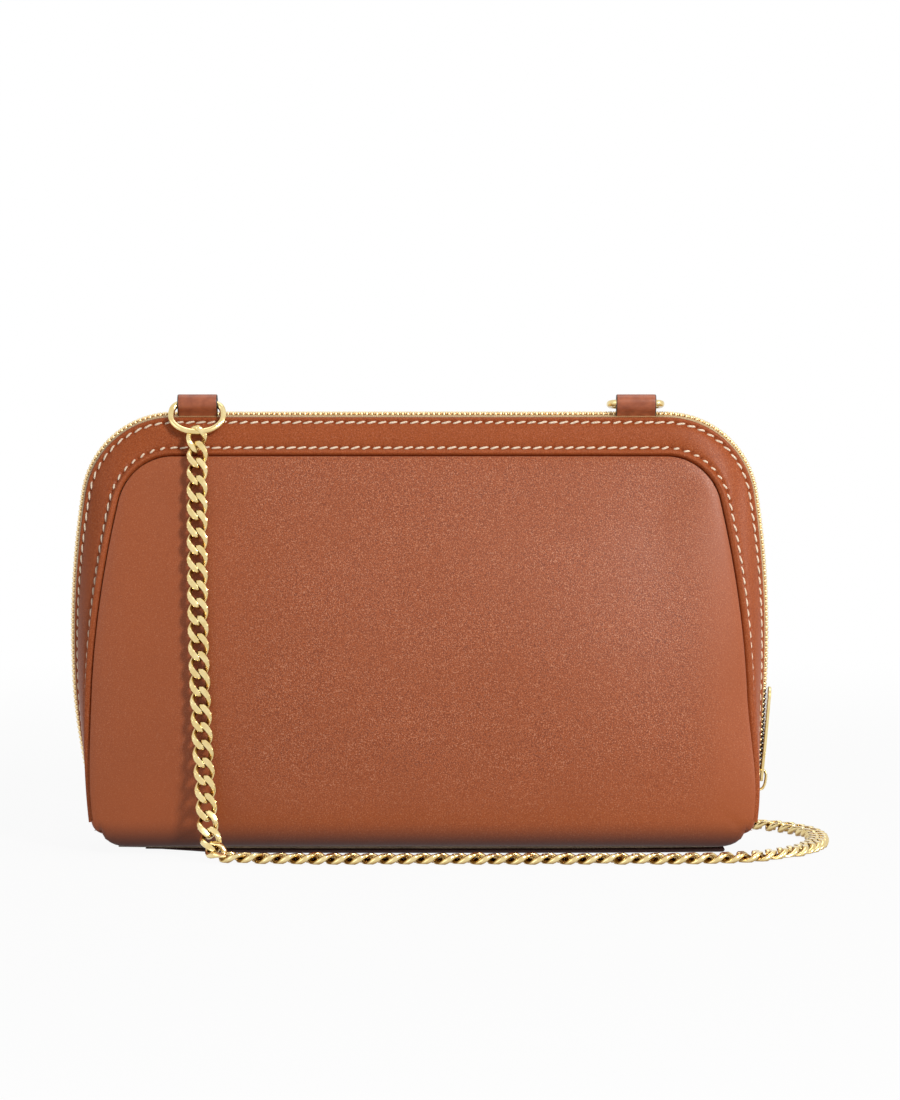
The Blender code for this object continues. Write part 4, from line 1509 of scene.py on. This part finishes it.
    def band_piece(self) -> Piece:
        """The band: grooved along its stitch rows, with a rolled lip over the face.

        Returns:
            The piece.
        """
        spans = [np.linspace(*span) for span in self.column_spans]
        outer = np.concatenate([self.first_columns, *spans, self.last_columns])
        distance = np.linspace(0.0, 2 * FORM.half_length(self.band_foot), self.band_steps)
        path = FORM.stations(distance, self.band_foot)[:, None, :]
        height = self.band_height(outer)[None, :]
        for row in self.rows:
            _, (fine, turns) = self.stitch_places(row)
            near_hole = np.cos(np.pi * np.interp(distance, fine, turns)) ** 2
            pit = self.hole_deep * near_hole**self.hole_power
            height = height - pit[:, None] * ridge(outer, row, self.hole_wide)[None, :]
        top = FORM.band(path, self.side, outer[None, :], -height)
        width, rim, thick = FORM.band_width, self.under_rim, FORM.band_thickness
        inner = np.array([width - rim, width * 0.75, width / 2, width / 4, rim])
        deep = np.array([thick + rim, thick, thick, thick, thick])
        under = FORM.band(path, self.side, inner[None, :], deep[None, :])
        name = f"{self.side.word}_band_leather"
        rows = np.concatenate([top, under], axis=1)
        return solid(name, rows, self.finishes.band, Slot.LEATHER, sharp=60, soft=True)

    def stitching(self, number: int) -> Piece:
        """One row of thread stitches, each dipping into its holes and leaning a little.

        Args:
            number: 0 for the row by the zip, 1 for the one by the face.

        Returns:
            The piece.
        """
        along = self.rows[number]
        places, _ = self.stitch_places(along)
        plan = Plan()
        rng = np.random.default_rng(self.stitch_seed + number)
        steps = np.linspace(-1.0, 1.0, self.stitch_steps)
        half = self.stitch_wide / 2
        shape = half * np.sqrt(np.maximum(1 - np.abs(steps) ** 3, self.stitch_end))
        section = round_section(self.stitch_sides, 1.0, self.stitch_flat) * shape[:, None, None]
        proud = float(self.band_height(np.array(along))) + self.stitch_proud
        rise = proud - self.stitch_dip * np.abs(steps) ** 4
        for place in places:
            reach = self.stitch_long / 2 * rng.uniform(*self.stitch_spread)
            slant = self.stitch_slant + rng.normal(0.0, self.slant_spread)
            here = FORM.stations(place + steps * reach, self.band_foot)
            over = along - steps * reach * slant
            line = FORM.band(here, self.side, over, -rise)
            up = unit(FORM.band(here, self.side, over, -rise - MM) - line)
            side = unit(np.cross(up, unit(np.gradient(line, axis=0))))
            plan.grid(sweep(line, side, up, section), wrap=True, caps=True)
        name = f"{self.side.word}_{('outer', 'inner')[number]}_stitching"
        return plan.build(name, self.finishes.thread, Slot.LEATHER, soft=True)

    def tape(self) -> Piece:
        """The zip tape from the teeth to under the band, with a corded edge by the teeth.

        Returns:
            The piece.
        """
        path = FORM.path(self.tape_count, self.tape_foot)[:, None, :]
        deep = FORM.band_thickness + FORM.board_thickness + 2 * FORM.layer_gap
        inward, across = np.array(self.tape_mouth).T
        top = FORM.mouth(path, self.side, inward, across)
        under = FORM.mouth(path, self.side, inward[::-1] + self.tape_thick, across[::-1])
        along = np.array(self.tape_hidden)
        hidden = FORM.band(path, self.side, along, deep)
        back = FORM.band(path, self.side, along[::-1], deep + FORM.lining_thickness)
        rows = np.concatenate([top, hidden, back, under], axis=1)
        return solid(f"{self.side.word}_tape_cloth", rows, self.finishes.tape, Slot.TAPE, soft=True)

    def band_board(self) -> Piece:
        """The card that stiffens the band, just short of the leather's edges and feet.

        Returns:
            The piece.
        """
        path = FORM.path(self.board_count, self.board_foot)[:, None, :]
        along = np.linspace(self.board_start, FORM.band_width - self.board_start, 5)
        deep = FORM.band_thickness + FORM.layer_gap
        top = FORM.band(path, self.side, along, deep)
        under = FORM.band(path, self.side, along[::-1], deep + FORM.board_thickness)
        rows = np.concatenate([top, under], axis=1)
        return solid(f"{self.side.word}_band_card", rows, self.finishes.board, Slot.BOARD, soft=True)

    def build(self) -> list[Piece]:
        """Makes the half's pieces and gives each its body.

        Returns:
            The pieces.
        """
        word, body, finishes = self.side.word, self.side.body, self.finishes
        outer = Layer(0.0, FORM.panel_thickness, self.corner_foot, self.margin, boxed=True)
        under = FORM.panel_thickness + FORM.board_thickness + 2 * FORM.layer_gap + self.lining_clear
        inner = Layer(under, FORM.lining_thickness, self.lining_foot, self.lining_margin)
        face = self.shell(f"{word}_face_leather", outer, finishes.face, Slot.LEATHER)
        lining = self.shell(f"{word}_lining_cloth", inner, finishes.lining, Slot.LINING)
        return [
            settle(face, body, f"{word}_panel"),
            settle(lining, body, f"{word}_lining"),
            settle(self.band_piece(), body, f"{word}_band"),
            settle(self.stitching(0), body),
            settle(self.stitching(1), body),
            settle(self.tape(), body, f"{word}_zip_tape"),
            settle(self.band_board(), body, f"{word}_band_board"),
        ]


@dataclass
class Zip:
    """Teeth of both halves, the slider, its bail and the puller."""

    finishes: Finishes
    tooth_pitch: float = 0.00152
    tooth_half: float = 0.000448
    tooth_rise: float = 0.00145
    tooth_low: float = -0.0003
    tooth_square: float = 0.6
    end_height: float = 0.0160
    inner_across: float = -0.0005
    outer_across: float = 0.0020
    slider_height: float = 0.0205
    slider_length: float = 0.0078
    plate_half: float = 0.0034
    plate_low: float = 0.0015
    plate_thick: float = 0.0008
    plate_rim: float = 0.00035
    plate_taper: float = 0.22
    plate_square: Span = (0.62, 0.8)
    # steps through a plate's thickness: share of it, and share of the rim's drawing in
    rim_steps: tuple[Span, ...] = (
        (0.0, 1.0), (0.12, 0.35), (0.35, 0.0), (0.65, 0.0), (0.88, 0.35), (1.0, 1.0),
    )
    foot_half: float = 0.0018
    foot_deep: float = 0.0024
    foot_thick: float = 0.0008
    foot_rim: float = 0.00025
    fin: float = 0.0003
    fin_share: float = 0.42
    fin_overlap: float = 0.0002
    pivot_out: float = 0.00305
    bail_reach: float = 0.0030
    bail_half: float = 0.00062
    bail_wire: float = 0.00042
    bail_out: float = 0.0044
    bail_sunk: float = 0.0001
    bail_square: Span = (0.55, 0.8)
    puller_long: float = 0.0280
    puller_half: float = 0.0032
    puller_neck: float = 0.0021
    puller_thick: float = 0.00095
    puller_corner: float = 0.0012
    puller_rim: float = 0.00026
    puller_lean: float = math.radians(-4.3)
    shoulder: Span = (0.0054, 0.0106)
    slot_half: float = 0.0009
    slot_long: float = 0.0042
    slot_turn: float = 0.35
    slot_square: Span = (0.7, 0.55)

    def teeth(self, side: Side) -> Piece:
        """One row of rounded metal teeth, clear of the row it meshes with.

        Args:
            side: Which half they are on.

        Returns:
            The piece.
        """
        length = 2 * FORM.half_length(self.end_height)
        count = int(length / self.tooth_pitch)
        places = (np.arange(count) + 0.5 + 0.25 * side.value) * length / count
        middle = (self.inner_across + self.outer_across) / 2
        half_wide = (self.outer_across - self.inner_across) / 2
        turn = circle(8)
        wide = signed_power(np.cos(turn), self.tooth_square)
        deep = signed_power(np.sin(turn), self.tooth_square)
        level = np.linspace(-1.0, 1.0, 6)
        scales = np.sqrt(1 - level**4) / 2 + 0.5
        plan = Plan()
        for place in places:
            rows = []
            for high, scale in zip(level, scales):
                out = self.tooth_low + (self.tooth_rise - self.tooth_low) * (high + 1) / 2
                here = FORM.stations(place + deep * scale * self.tooth_half, self.end_height)
                rows.append(FORM.mouth(here, side, -out, middle + wide * scale * half_wide))
            plan.grid(np.stack(rows), wrap=True, caps=True)
        name = f"{side.word}_teeth_row"
        return plan.build(name, self.finishes.tooth_gold, Slot.GOLD, sharp=70, soft=True)

    def placed(self, points: Array, shift: float = 0.0, lean: float = 0.0) -> Array:
        """Points of the slider's own frame (out, across, up), put on the side arc.

        Args:
            points: The points.
            shift: How far out they go first.
            lean: Angle in radians that they turn through about the cross axis before that.

        Returns:
            The places.
        """
        centre = Matrix.Translation((FORM.side_centre_x, 0.0, FORM.side_centre_height))
        turn = Matrix.Rotation(-FORM.side_angle(self.slider_height), 4, "Y")
        out = Matrix.Translation((FORM.side_radius + shift, 0.0, 0.0))
        carry = np.array(centre @ turn @ out @ Matrix.Rotation(lean, 4, "Y"))
        return points @ carry[:3, :3].T + carry[:3, 3]

    def plate(self, plan: Plan, low: float, thick: float, half: float, soft: float) -> None:
        """Adds a slider plate: shield shaped, with rounded rims.

        Args:
            plan: The slider's plan.
            low: How far out it starts.
            thick: Its thickness.
            half: Half its width.
            soft: Size of its rounded rims.
        """
        turn = circle(40)
        half_long = self.slider_length / 2
        up = half_long * signed_power(np.sin(turn), self.plate_square[1])
        across = half * signed_power(np.cos(turn), self.plate_square[0])
        across = across * (1 - self.plate_taper * (np.abs(up) / half_long) ** 3)
        rows = []
        for share, back in self.rim_steps:
            out = np.full_like(up, low + thick * share)
            line = (out, across * (1 - soft * back / half), up * (1 - soft * back / half_long))
            rows.append(np.column_stack(line))
        plan.grid(self.placed(np.stack(rows)), wrap=True, caps=True)

    def slider(self) -> Piece:
        """The slider: an outer plate, an inner plate and the fin that joins them.

        Returns:
            The piece.
        """
        plan = Plan()
        foot = -self.foot_deep - self.foot_thick
        self.plate(plan, self.plate_low, self.plate_thick, self.plate_half, self.plate_rim)
        self.plate(plan, foot, self.foot_thick, self.foot_half, self.foot_rim)
        oval = round_section(24, self.fin, self.slider_length * self.fin_share)
        ends = (-self.foot_deep - self.fin_overlap, self.plate_low + self.fin_overlap)
        rows = [np.column_stack([np.full(len(oval), out), oval]) for out in ends]
        plan.grid(self.placed(np.stack(rows)), wrap=True, caps=True)
        return plan.build("slider_body_metal", self.finishes.gold, Slot.GOLD, sharp=45)

    def bail(self) -> Piece:
        """The bow over the slider that the puller turns on.

        Returns:
            The piece.
        """
        turn = np.linspace(0.0, np.pi, 25)
        start = self.plate_low + self.plate_thick - self.bail_sunk
        out = start + (self.bail_out - start) * signed_power(np.sin(turn), self.bail_square[0])
        up = -self.bail_reach * signed_power(np.cos(turn), self.bail_square[1])
        line = np.stack([out, np.zeros_like(out), up], axis=1)
        across = np.tile([0.0, 1.0, 0.0], (len(line), 1))
        normal = np.cross(unit(np.gradient(line, axis=0)), across)
        rows = sweep(line, across, normal, round_section(14, self.bail_half, self.bail_wire))
        return solid("slider_bow_metal", self.placed(rows), self.finishes.gold, Slot.GOLD)

    def puller_halves(self) -> tuple[Array, Array]:
        """Right half of the puller's outline and of its slot, from bottom to top, as (across, up).

        Returns:
            The two lines, with as many points each.
        """
        low = -self.puller_thick / 2
        neck, wide, corner = self.puller_neck, self.puller_half, self.puller_corner
        turn = np.linspace(-np.pi / 2, 0.0, 9)
        foot = np.stack([neck + corner * (np.cos(turn) - 1), low + corner * (1 + np.sin(turn))], axis=1)
        up = np.linspace(*self.shoulder, 14)
        side = np.stack([neck + (wide - neck) * smoothstep(*self.shoulder, up), up], axis=1)
        turn = np.linspace(0.0, np.pi / 2, 21)
        end = np.stack([wide * np.cos(turn), self.puller_long - wide * (1 - np.sin(turn))], axis=1)
        outer = np.vstack([[(0.0, low)], foot, side, end])
        below = np.linspace(-np.pi / 2, self.slot_turn, 10)
        turn = np.append(below[:-1], np.linspace(self.slot_turn, np.pi / 2, len(outer) - 9))
        across = self.slot_half * signed_power(np.cos(turn), self.slot_square[0])
        rise = self.slot_long / 2 * (1 + signed_power(np.sin(turn), self.slot_square[1]))
        return outer, np.stack([across, low + self.puller_thick + rise], axis=1)

    def puller(self) -> Piece:
        """The flat puller: a round-ended plate, slotted where the bow goes through it.

        Returns:
            The piece.
        """
        outer, slot = (np.vstack([half, half[-2:0:-1] * [-1.0, 1.0]]) for half in self.puller_halves())
        ahead = unit(np.roll(outer, -1, axis=0) - np.roll(outer, 1, axis=0))
        outward = np.stack([ahead[:, 1], -ahead[:, 0]], axis=1)
        thick, rim = self.puller_thick / 2, self.puller_rim
        lines = [
            (out * thick, outer - outward * back * rim)
            for out, back in ((-1.0, 1.0), (-0.5, 0.2), (0.5, 0.2), (1.0, 1.0))
        ]
        lines += [(thick, slot), (-thick, slot)]
        rows = np.stack([np.column_stack([np.full(len(line), out), line]) for out, line in lines])
        rows = self.placed(rows, self.pivot_out, self.puller_lean)
        return solid("puller_metal", rows, self.finishes.gold, Slot.GOLD, loop=True, sharp=40)

    def build(self) -> list[Piece]:
        """Makes the zip's pieces and gives each its body.

        Returns:
            The pieces.
        """
        made = [settle(self.teeth(side), side.body, f"{side.word}_zip_teeth") for side in Side]
        dress_nodes(
            self.finishes.tooth_gold, "near_zip_top_stop", "far_zip_top_stop", "zip_bottom_stop"
        )
        return [
            *made,
            settle(self.slider(), "slider", "zip_slider"),
            settle(self.bail(), "slider", "slider_bail"),
            settle(self.puller(), "puller", "zip_puller"),
        ]


@dataclass
class Hanger:
    """A folded leather tab with its D ring and the link that joins the chain to the ring.

    Its angles are in degrees.
    """

    finishes: Finishes
    word: str
    centre: float
    ring_lean: float
    link_lean: float
    link_turn: float = -20
    tab_half: float = 0.0059
    loop_out: float = 0.0006
    loop_rise: float = 0.0042
    loop_turn: Span = (38, 322)
    wall: float = 0.0010
    tongue: float = 0.00042
    tongue_end: Span = (-0.0034, -0.0016)
    # the strap's ends under the band: distance over the band and depth below it
    tucked_front: tuple[Span, ...] = (
        (0.0050, 0.00172), (0.0028, 0.00172), (0.0010, 0.00172), (-0.0002, 0.00165),
    )
    tucked_back: tuple[Span, ...] = (
        (-0.0002, 0.00222), (0.0010, 0.00218), (0.0028, 0.00218), (0.0050, 0.00218),
    )
    smoothing: tuple[int, ...] = (1, 2, 3, 2, 1)
    # the strap's rounded cut edge: share of its half width and share of its thickness
    tab_edge: tuple[Span, ...] = (
        (1.0, 0.45), (0.985, 0.75), (0.955, 0.95), (0.91, 1.0), (0.6, 1.0), (0.3, 1.0),
    )
    ring_wire: float = 0.0019
    ring_half: float = 0.00765
    ring_height: float = 0.0100
    ring_corner: float = 0.0048
    ring_power: float = 0.60
    wire_power: float = 0.86
    ring_count: int = 84
    hole_clear: float = 0.0005
    link_clear: float = 0.0003

    @property
    def axis(self) -> Array:
        """Middle of the ring's straight bar."""
        return np.array([self.centre, -FORM.mouth_half + self.loop_out, FORM.height + self.loop_rise])

    def tucked(self, places: Sequence[Span]) -> list[Span]:
        """Depth and height of places under the band, given by their distance along it and depth.

        Args:
            places: Pairs of distance over the band and depth below it.

        Returns:
            The depths and heights.
        """
        station = np.array([self.centre, FORM.height, 0.0, -1.0])
        points = [FORM.band(station, Side.NEAR, np.array(along), deep) for along, deep in places]
        return [(point[1], point[2]) for point in points]

    def strap_line(self) -> Array:
        """Middle line of the strap in the plane across it: up behind the band, over and down again.

        Returns:
            Places as (depth, height).
        """
        _, loop_y, loop_z = self.axis
        radius = self.ring_wire / 2 + self.hole_clear + self.wall / 2
        turn = np.radians(np.linspace(*self.loop_turn, 33))
        loop = np.stack([loop_y - radius * np.sin(turn), loop_z - radius * np.cos(turn)], axis=1)
        line = np.vstack([self.tucked(self.tucked_front), loop, self.tucked(self.tucked_back)])
        gone = lengths_along(line)
        line = read_path(line, gone, np.linspace(0.0, gone[-1], 90))
        kernel = np.array(self.smoothing) / sum(self.smoothing)
        padded = np.vstack([line[:1], line[:1], line, line[-1:], line[-1:]])
        return np.stack([np.convolve(column, kernel, mode="valid") for column in padded.T], axis=1)

    def tab(self) -> Piece:
        """The tab: one strap folded over the bar, both ends tucked behind the band.

        Returns:
            The piece.
        """
        line = self.strap_line()
        ahead = unit(np.gradient(line, axis=0))
        out = np.stack([-ahead[:, 1], ahead[:, 0]], axis=1)
        low, high = self.tongue_end
        in_loop = smoothstep(self.axis[2] + low, self.axis[2] + high, line[:, 1])
        thick = self.tongue + (self.wall - self.tongue) * in_loop
        half = out * (thick / 2)[:, None]
        rows = []
        left = [(-place, scale) for place, scale in self.tab_edge]
        for share, scale in (*left, (0.0, 1.0), *self.tab_edge[::-1]):
            outline = np.vstack([line + half * scale, (line - half * scale)[::-1]])
            x = np.full(len(outline), self.centre + share * self.tab_half)
            rows.append(np.column_stack([x, outline]))
        finish = TabFinish(f"{self.word} tab leather", self.centre, self.tab_half).make()
        return solid(f"{self.word}_tab_strap", np.stack(rows), finish, Slot.LEATHER, sharp=60)

    @staticmethod
    def down(lean: float) -> Array:
        """Straight down, leaning out by an angle."""
        return np.array([0.0, -math.sin(math.radians(lean)), -math.cos(math.radians(lean))])

    def ring_line(self, down: Array) -> Array:
        """Middle line of the ring's wire: a straight bar, round corners and a deep bow.

        Args:
            down: Which way the ring hangs.

        Returns:
            Places round the line, from the middle of the bar.
        """
        turn = circle(self.ring_count) + np.pi / self.ring_count
        out, up = np.cos(turn), np.sin(turn)
        wide = np.where(up > 0, signed_power(out, self.ring_power), out)
        drop_high = self.ring_corner * (1 - np.maximum(up, 0.0) ** self.ring_power)
        drop_low = self.ring_corner - (self.ring_height - self.ring_corner) * up
        drop = np.where(up > 0, drop_high, drop_low)
        line = np.outer(self.ring_half * wide, SIDEWAYS) + np.outer(drop, down)
        closed = np.vstack([line, line[:1]])
        gone = lengths_along(closed)
        line = read_path(closed, gone, np.linspace(0.0, gone[-1], 97)[:-1])
        for _ in range(2):
            line = (np.roll(line, 1, axis=0) + 2 * line + np.roll(line, -1, axis=0)) / 4
        return line

    def ring(self) -> Piece:
        """The D ring.

        Returns:
            The piece.
        """
        down = self.down(self.ring_lean)
        line = self.ring_line(down)
        normal = np.cross(down, SIDEWAYS)
        ahead = unit(np.roll(line, -1, axis=0) - np.roll(line, 1, axis=0))
        section = signed_power(round_section(16, 1.0, 1.0), self.wire_power) * self.ring_wire / 2
        normals = np.tile(normal, (len(line), 1))
        rows = sweep(line + self.axis, np.cross(ahead, normal), normals, section)
        return solid(f"{self.word}_ring_metal", rows, self.finishes.gold, Slot.GOLD, loop=True)

    def end_link(self) -> Piece:
        """The link hooked round the far side of the ring.

        Returns:
            The piece.
        """
        along = self.down(self.link_lean)
        shape = LinkShape()
        hook = self.ring_wire / 2 + shape.wire / 2 + self.link_clear
        middle = self.down(self.ring_lean) * self.ring_height + self.axis
        middle = middle + along * (shape.half_long + shape.wire / 2 - hook)
        turn = math.radians(self.link_turn)
        facing = SIDEWAYS * math.sin(turn) - np.cross(along, SIDEWAYS) * math.cos(turn)
        rows = middle + shape.rows() @ np.stack([along, np.cross(facing, along), facing])
        return solid(f"{self.word}_end_link_metal", rows, self.finishes.gold, Slot.GOLD, loop=True)

    def build(self) -> list[Piece]:
        """Makes the tab, ring and end link and gives each its body.

        Returns:
            The pieces.
        """
        ring_body = f"{self.word}_ring"
        return [
            settle(self.tab(), "near_half", f"{self.word}_tab"),
            settle(self.ring(), ring_body, f"{self.word}_ring"),
            settle(self.end_link(), ring_body, f"{self.word}_end_link"),
        ]


@dataclass
class Base:
    """The flat base with its boxed ends, its lining, and the slip pocket on the far lining."""

    finishes: Finishes
    half_width: float = 0.0858
    shift: float = 0.0047
    lift: float = 0.0010
    lift_ends: Span = (-0.0560, -0.0780)
    thickness: float = 0.0014
    rim: float = 0.0005
    inset: float = 0.0039
    lining_half: float = 0.0860
    lining_low: float = 0.0032
    lining_top: float = 0.0038
    lining_rim: float = 0.0002
    lining_inset: float = 0.0072
    # steps through a slab's thickness: share of it, and share of the rim's drawing in
    rim_steps: tuple[Span, ...] = (
        (0.0, 1.0), (0.15, 0.35), (0.4, 0.0), (0.6, 0.0), (0.85, 0.35), (1.0, 1.0),
    )
    pocket_half: float = 0.0680
    pocket_low: float = 0.0140
    pocket_high: float = 0.0820
    pocket_deep: float = 0.0047
    pocket_thick: float = 0.0006
    hem: float = 0.0003
    hem_places: Triple = (-0.0095, -0.0085, -0.0080)
    slack: float = 0.0009
    slack_low: float = 0.050

    def slab(
        self, name: str, half: float, low: float, high: float, soft: float, inset: float,
        material: Material, slot: Slot, shift: float = 0.0, lift: float = 0.0,
    ) -> Piece:
        """Makes a flat piece of the base that follows the faces, with softened rims.

        Args:
            name: The piece's name.
            half: Half its width.
            low: Height of its underside.
            high: Height of its top.
            soft: Size of its softened rims.
            inset: How far inside the faces it ends.
            material: Its finish.
            slot: A material slot, handed on to solid.
            shift: How far right its middle is.
            lift: How far its left end stands off the floor.

        Returns:
            The piece.
        """
        rows = []
        spread = np.cos(np.pi * np.arange(61) / 60)
        for share, back in self.rim_steps:
            x = shift - (half - soft * back) * spread
            deep = np.full_like(x, inset + soft * back)
            line = FORM.face(x, np.zeros_like(x), Side.NEAR, deep)[:, :2]
            rim = np.vstack([line, line[::-1] * [1.0, -1.0]])
            floor = low + lift * smoothstep(*self.lift_ends, rim[:, 0])
            rows.append(np.column_stack([rim, floor + (high - floor) * share]))
        return solid(name, np.stack(rows), material, slot)

    def pocket(self) -> Piece:
        """The slip pocket: a flat cloth front with a doubled hem along its mouth.

        Returns:
            The piece.
        """
        before, after, full = (self.pocket_high + place for place in self.hem_places)
        x = np.linspace(-self.pocket_half, self.pocket_half, 56)
        z = np.append(np.linspace(self.pocket_low, before, 26), np.linspace(after, self.pocket_high, 6))
        wide, high = np.meshgrid(x, z)
        hem = self.hem * smoothstep(before, full, high)
        slack = self.slack * smoothstep(self.slack_low, self.pocket_high, high)
        slack = slack * (1 - (np.abs(wide) / self.pocket_half) ** 4)
        deep = self.pocket_deep + slack
        plan = Plan()
        front = plan.grid(FORM.face(wide, high, Side.FAR, deep + self.pocket_thick + hem))
        rear = plan.grid(FORM.face(wide, high, Side.FAR, deep))
        numbers = np.arange(wide.size).reshape(wide.shape)
        sides = (numbers[0], numbers[1:, -1], numbers[-1, -2::-1], numbers[-2:0:-1, 0])
        border = np.concatenate(sides)
        plan.wall((front + border).tolist(), (rear + border).tolist())
        return plan.build("slip_pocket_cloth", self.finishes.lining, Slot.LINING, soft=True)

    def build(self) -> list[Piece]:
        """Makes the base's pieces and gives each its body.

        Returns:
            The pieces.
        """
        base = self.slab(
            "base_leather", self.half_width, 0.0, self.thickness, self.rim, self.inset,
            self.finishes.base, Slot.LEATHER, self.shift, self.lift,
        )
        lining = self.slab(
            "base_lining_cloth", self.lining_half, self.lining_low, self.lining_top,
            self.lining_rim, self.lining_inset, self.finishes.lining, Slot.LINING,
        )
        pocket = self.pocket()
        dress_nodes(self.finishes.board, "near_board", "far_board", "base_board")
        return [
            settle(base, "far_half", "base_panel"),
            settle(lining, "far_half", "base_lining"),
            settle(pocket, "far_half", "slip_pocket"),
        ]


@dataclass(frozen=True)
class Lamp:
    """One soft round area lamp."""

    name: str
    place: Place
    size: float
    power: float
    colour: Colour


@dataclass
class Studio:
    """Camera, soft lights, pale floor and white surroundings."""

    eye: Place = (0.009, -1.25, 0.158)
    target: Place = (0.009, 0.0, 0.0885)
    lit_target: Place = (0.0, 0.0, 0.065)
    field_height: float = 0.3268
    sensor: float = 36.0
    clip_start: float = 0.01
    world_fill: float = 0.33
    floor_white: float = 0.93
    floor_fade: Span = (0.25, 0.75)
    floor_tone: float = 0.60
    floor_reach: float = 6.0
    floor_height: float = -0.0002
    lamps: tuple[Lamp, ...] = (
        Lamp("key", (0.62, -1.05, 0.70), 0.30, 12.5, (1.0, 0.98, 0.95)),
        Lamp("fill", (-1.10, -0.95, 0.55), 0.90, 2.4, (0.97, 0.98, 1.0)),
        Lamp("side", (1.15, -0.32, 0.30), 0.30, 4.0, (1.0, 0.97, 0.96)),
        Lamp("top", (0.05, 0.10, 1.15), 0.70, 2.4, (1.0, 1.0, 1.0)),
    )

    def put(self, name: str, data: bpy.types.ID, place: Place, target: Place) -> Piece:
        """Puts a lamp or a camera at a place, looking at another.

        Args:
            name: The object's name.
            data: The lamp or camera.
            place: Where it stands.
            target: What it looks at.

        Returns:
            The object.
        """
        made = bpy.data.objects.new(name, data)
        made.location = place
        way = Vector(target) - made.location
        made.rotation_euler = way.to_track_quat("-Z", "Y").to_euler()
        bpy.context.scene.collection.objects.link(made)
        return made

    def camera(self) -> None:
        """Makes the camera at the photograph's viewing angle."""
        data = bpy.data.cameras.new("camera")
        data.sensor_width = self.sensor
        distance = (Vector(self.eye) - Vector(self.target)).length
        data.lens = self.sensor * distance / self.field_height
        data.clip_start = self.clip_start
        bpy.context.scene.camera = self.put("camera", data, self.eye, self.target)

    def light(self, lamp: Lamp) -> None:
        """Makes one of the lamps, looking at the clutch."""
        data = bpy.data.lights.new(lamp.name, "AREA")
        data.shape = "DISK"
        data.size = lamp.size
        data.energy = lamp.power
        data.color = lamp.colour
        self.put(lamp.name, data, lamp.place, self.lit_target)

    @staticmethod
    def seen(net: Net) -> Sock:
        """1 for a ray from the camera, or a glossy or transmitted one, and 0 for any other."""
        path = net.node("ShaderNodeLightPath")
        words = ("Camera", "Glossy", "Transmission")
        camera, glossy, through = (Sock(net, path.outputs[f"Is {word} Ray"]) for word in words)
        return net.math("MINIMUM", camera + glossy + through, 1.0)

    def floor(self) -> None:
        """Makes the pale floor, bright to the camera but still keeping the object's shadow."""
        net = ShaderNet("pale floor")
        glow = net.node("ShaderNodeEmission", None, {"Color": WHITE, "Strength": 1.0})
        tone = self.floor_tone
        net.dress(Base_Color=(tone, tone, tone, 1.0), Roughness=0.9, Specular_IOR_Level=0.1)
        off = net.node("ShaderNodeVectorMath", {"operation": "LENGTH"}, {0: net.place()})
        white = Sock(net, off.outputs["Value"]).rise(*self.floor_fade, self.floor_white, 1.0)
        mixed = net.shaders(self.seen(net) * white, net.shader, glow)
        net.feed(net.output.inputs["Surface"], mixed)
        mesh = bpy.data.meshes.new("floor")
        reach = self.floor_reach
        corners = [(x * reach, y * reach, 0.0) for x, y in ((-1, -1), (1, -1), (1, 1), (-1, 1))]
        mesh.from_pydata(corners, [], [(0, 1, 2, 3)])
        mesh.materials.append(net.material)
        made = bpy.data.objects.new("floor", mesh)
        made.location.z = self.floor_height
        bpy.context.scene.collection.objects.link(made)

    def world(self) -> None:
        """Makes white surroundings to the camera and a plain soft fill on the object."""
        world = bpy.data.worlds.new("studio")
        world.use_nodes = True
        world.node_tree.nodes.clear()
        net = Net(world.node_tree)
        fill, white = (
            net.node("ShaderNodeBackground", None, {"Color": WHITE, "Strength": strength})
            for strength in (self.world_fill, 1.0)
        )
        mixed = net.shaders(self.seen(net), fill, white)
        net.node("ShaderNodeOutputWorld", None, {"Surface": mixed})
        bpy.context.scene.world = world

    def build(self) -> None:
        """Makes the whole studio."""
        self.camera()
        self.floor()
        self.world()
        for lamp in self.lamps:
            self.light(lamp)
        bpy.context.scene.view_settings.view_transform = "Standard"


def main() -> None:
    """Builds the scene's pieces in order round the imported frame."""
    logging.basicConfig(level=logging.INFO, format="%(message)s")
    Studio().build()
    finishes = Finishes()
    made = Chain().build(finishes)
    for side in Side:
        made += Half(side, finishes).build()
    made += Zip(finishes).build()
    made += Hanger(finishes, "left", centre=-0.0656, ring_lean=31, link_lean=0).build()
    made += Hanger(finishes, "right", centre=0.0640, ring_lean=-82, link_lean=-76).build()
    made += Base(finishes).build()


if __name__ == "__main__":
    main()
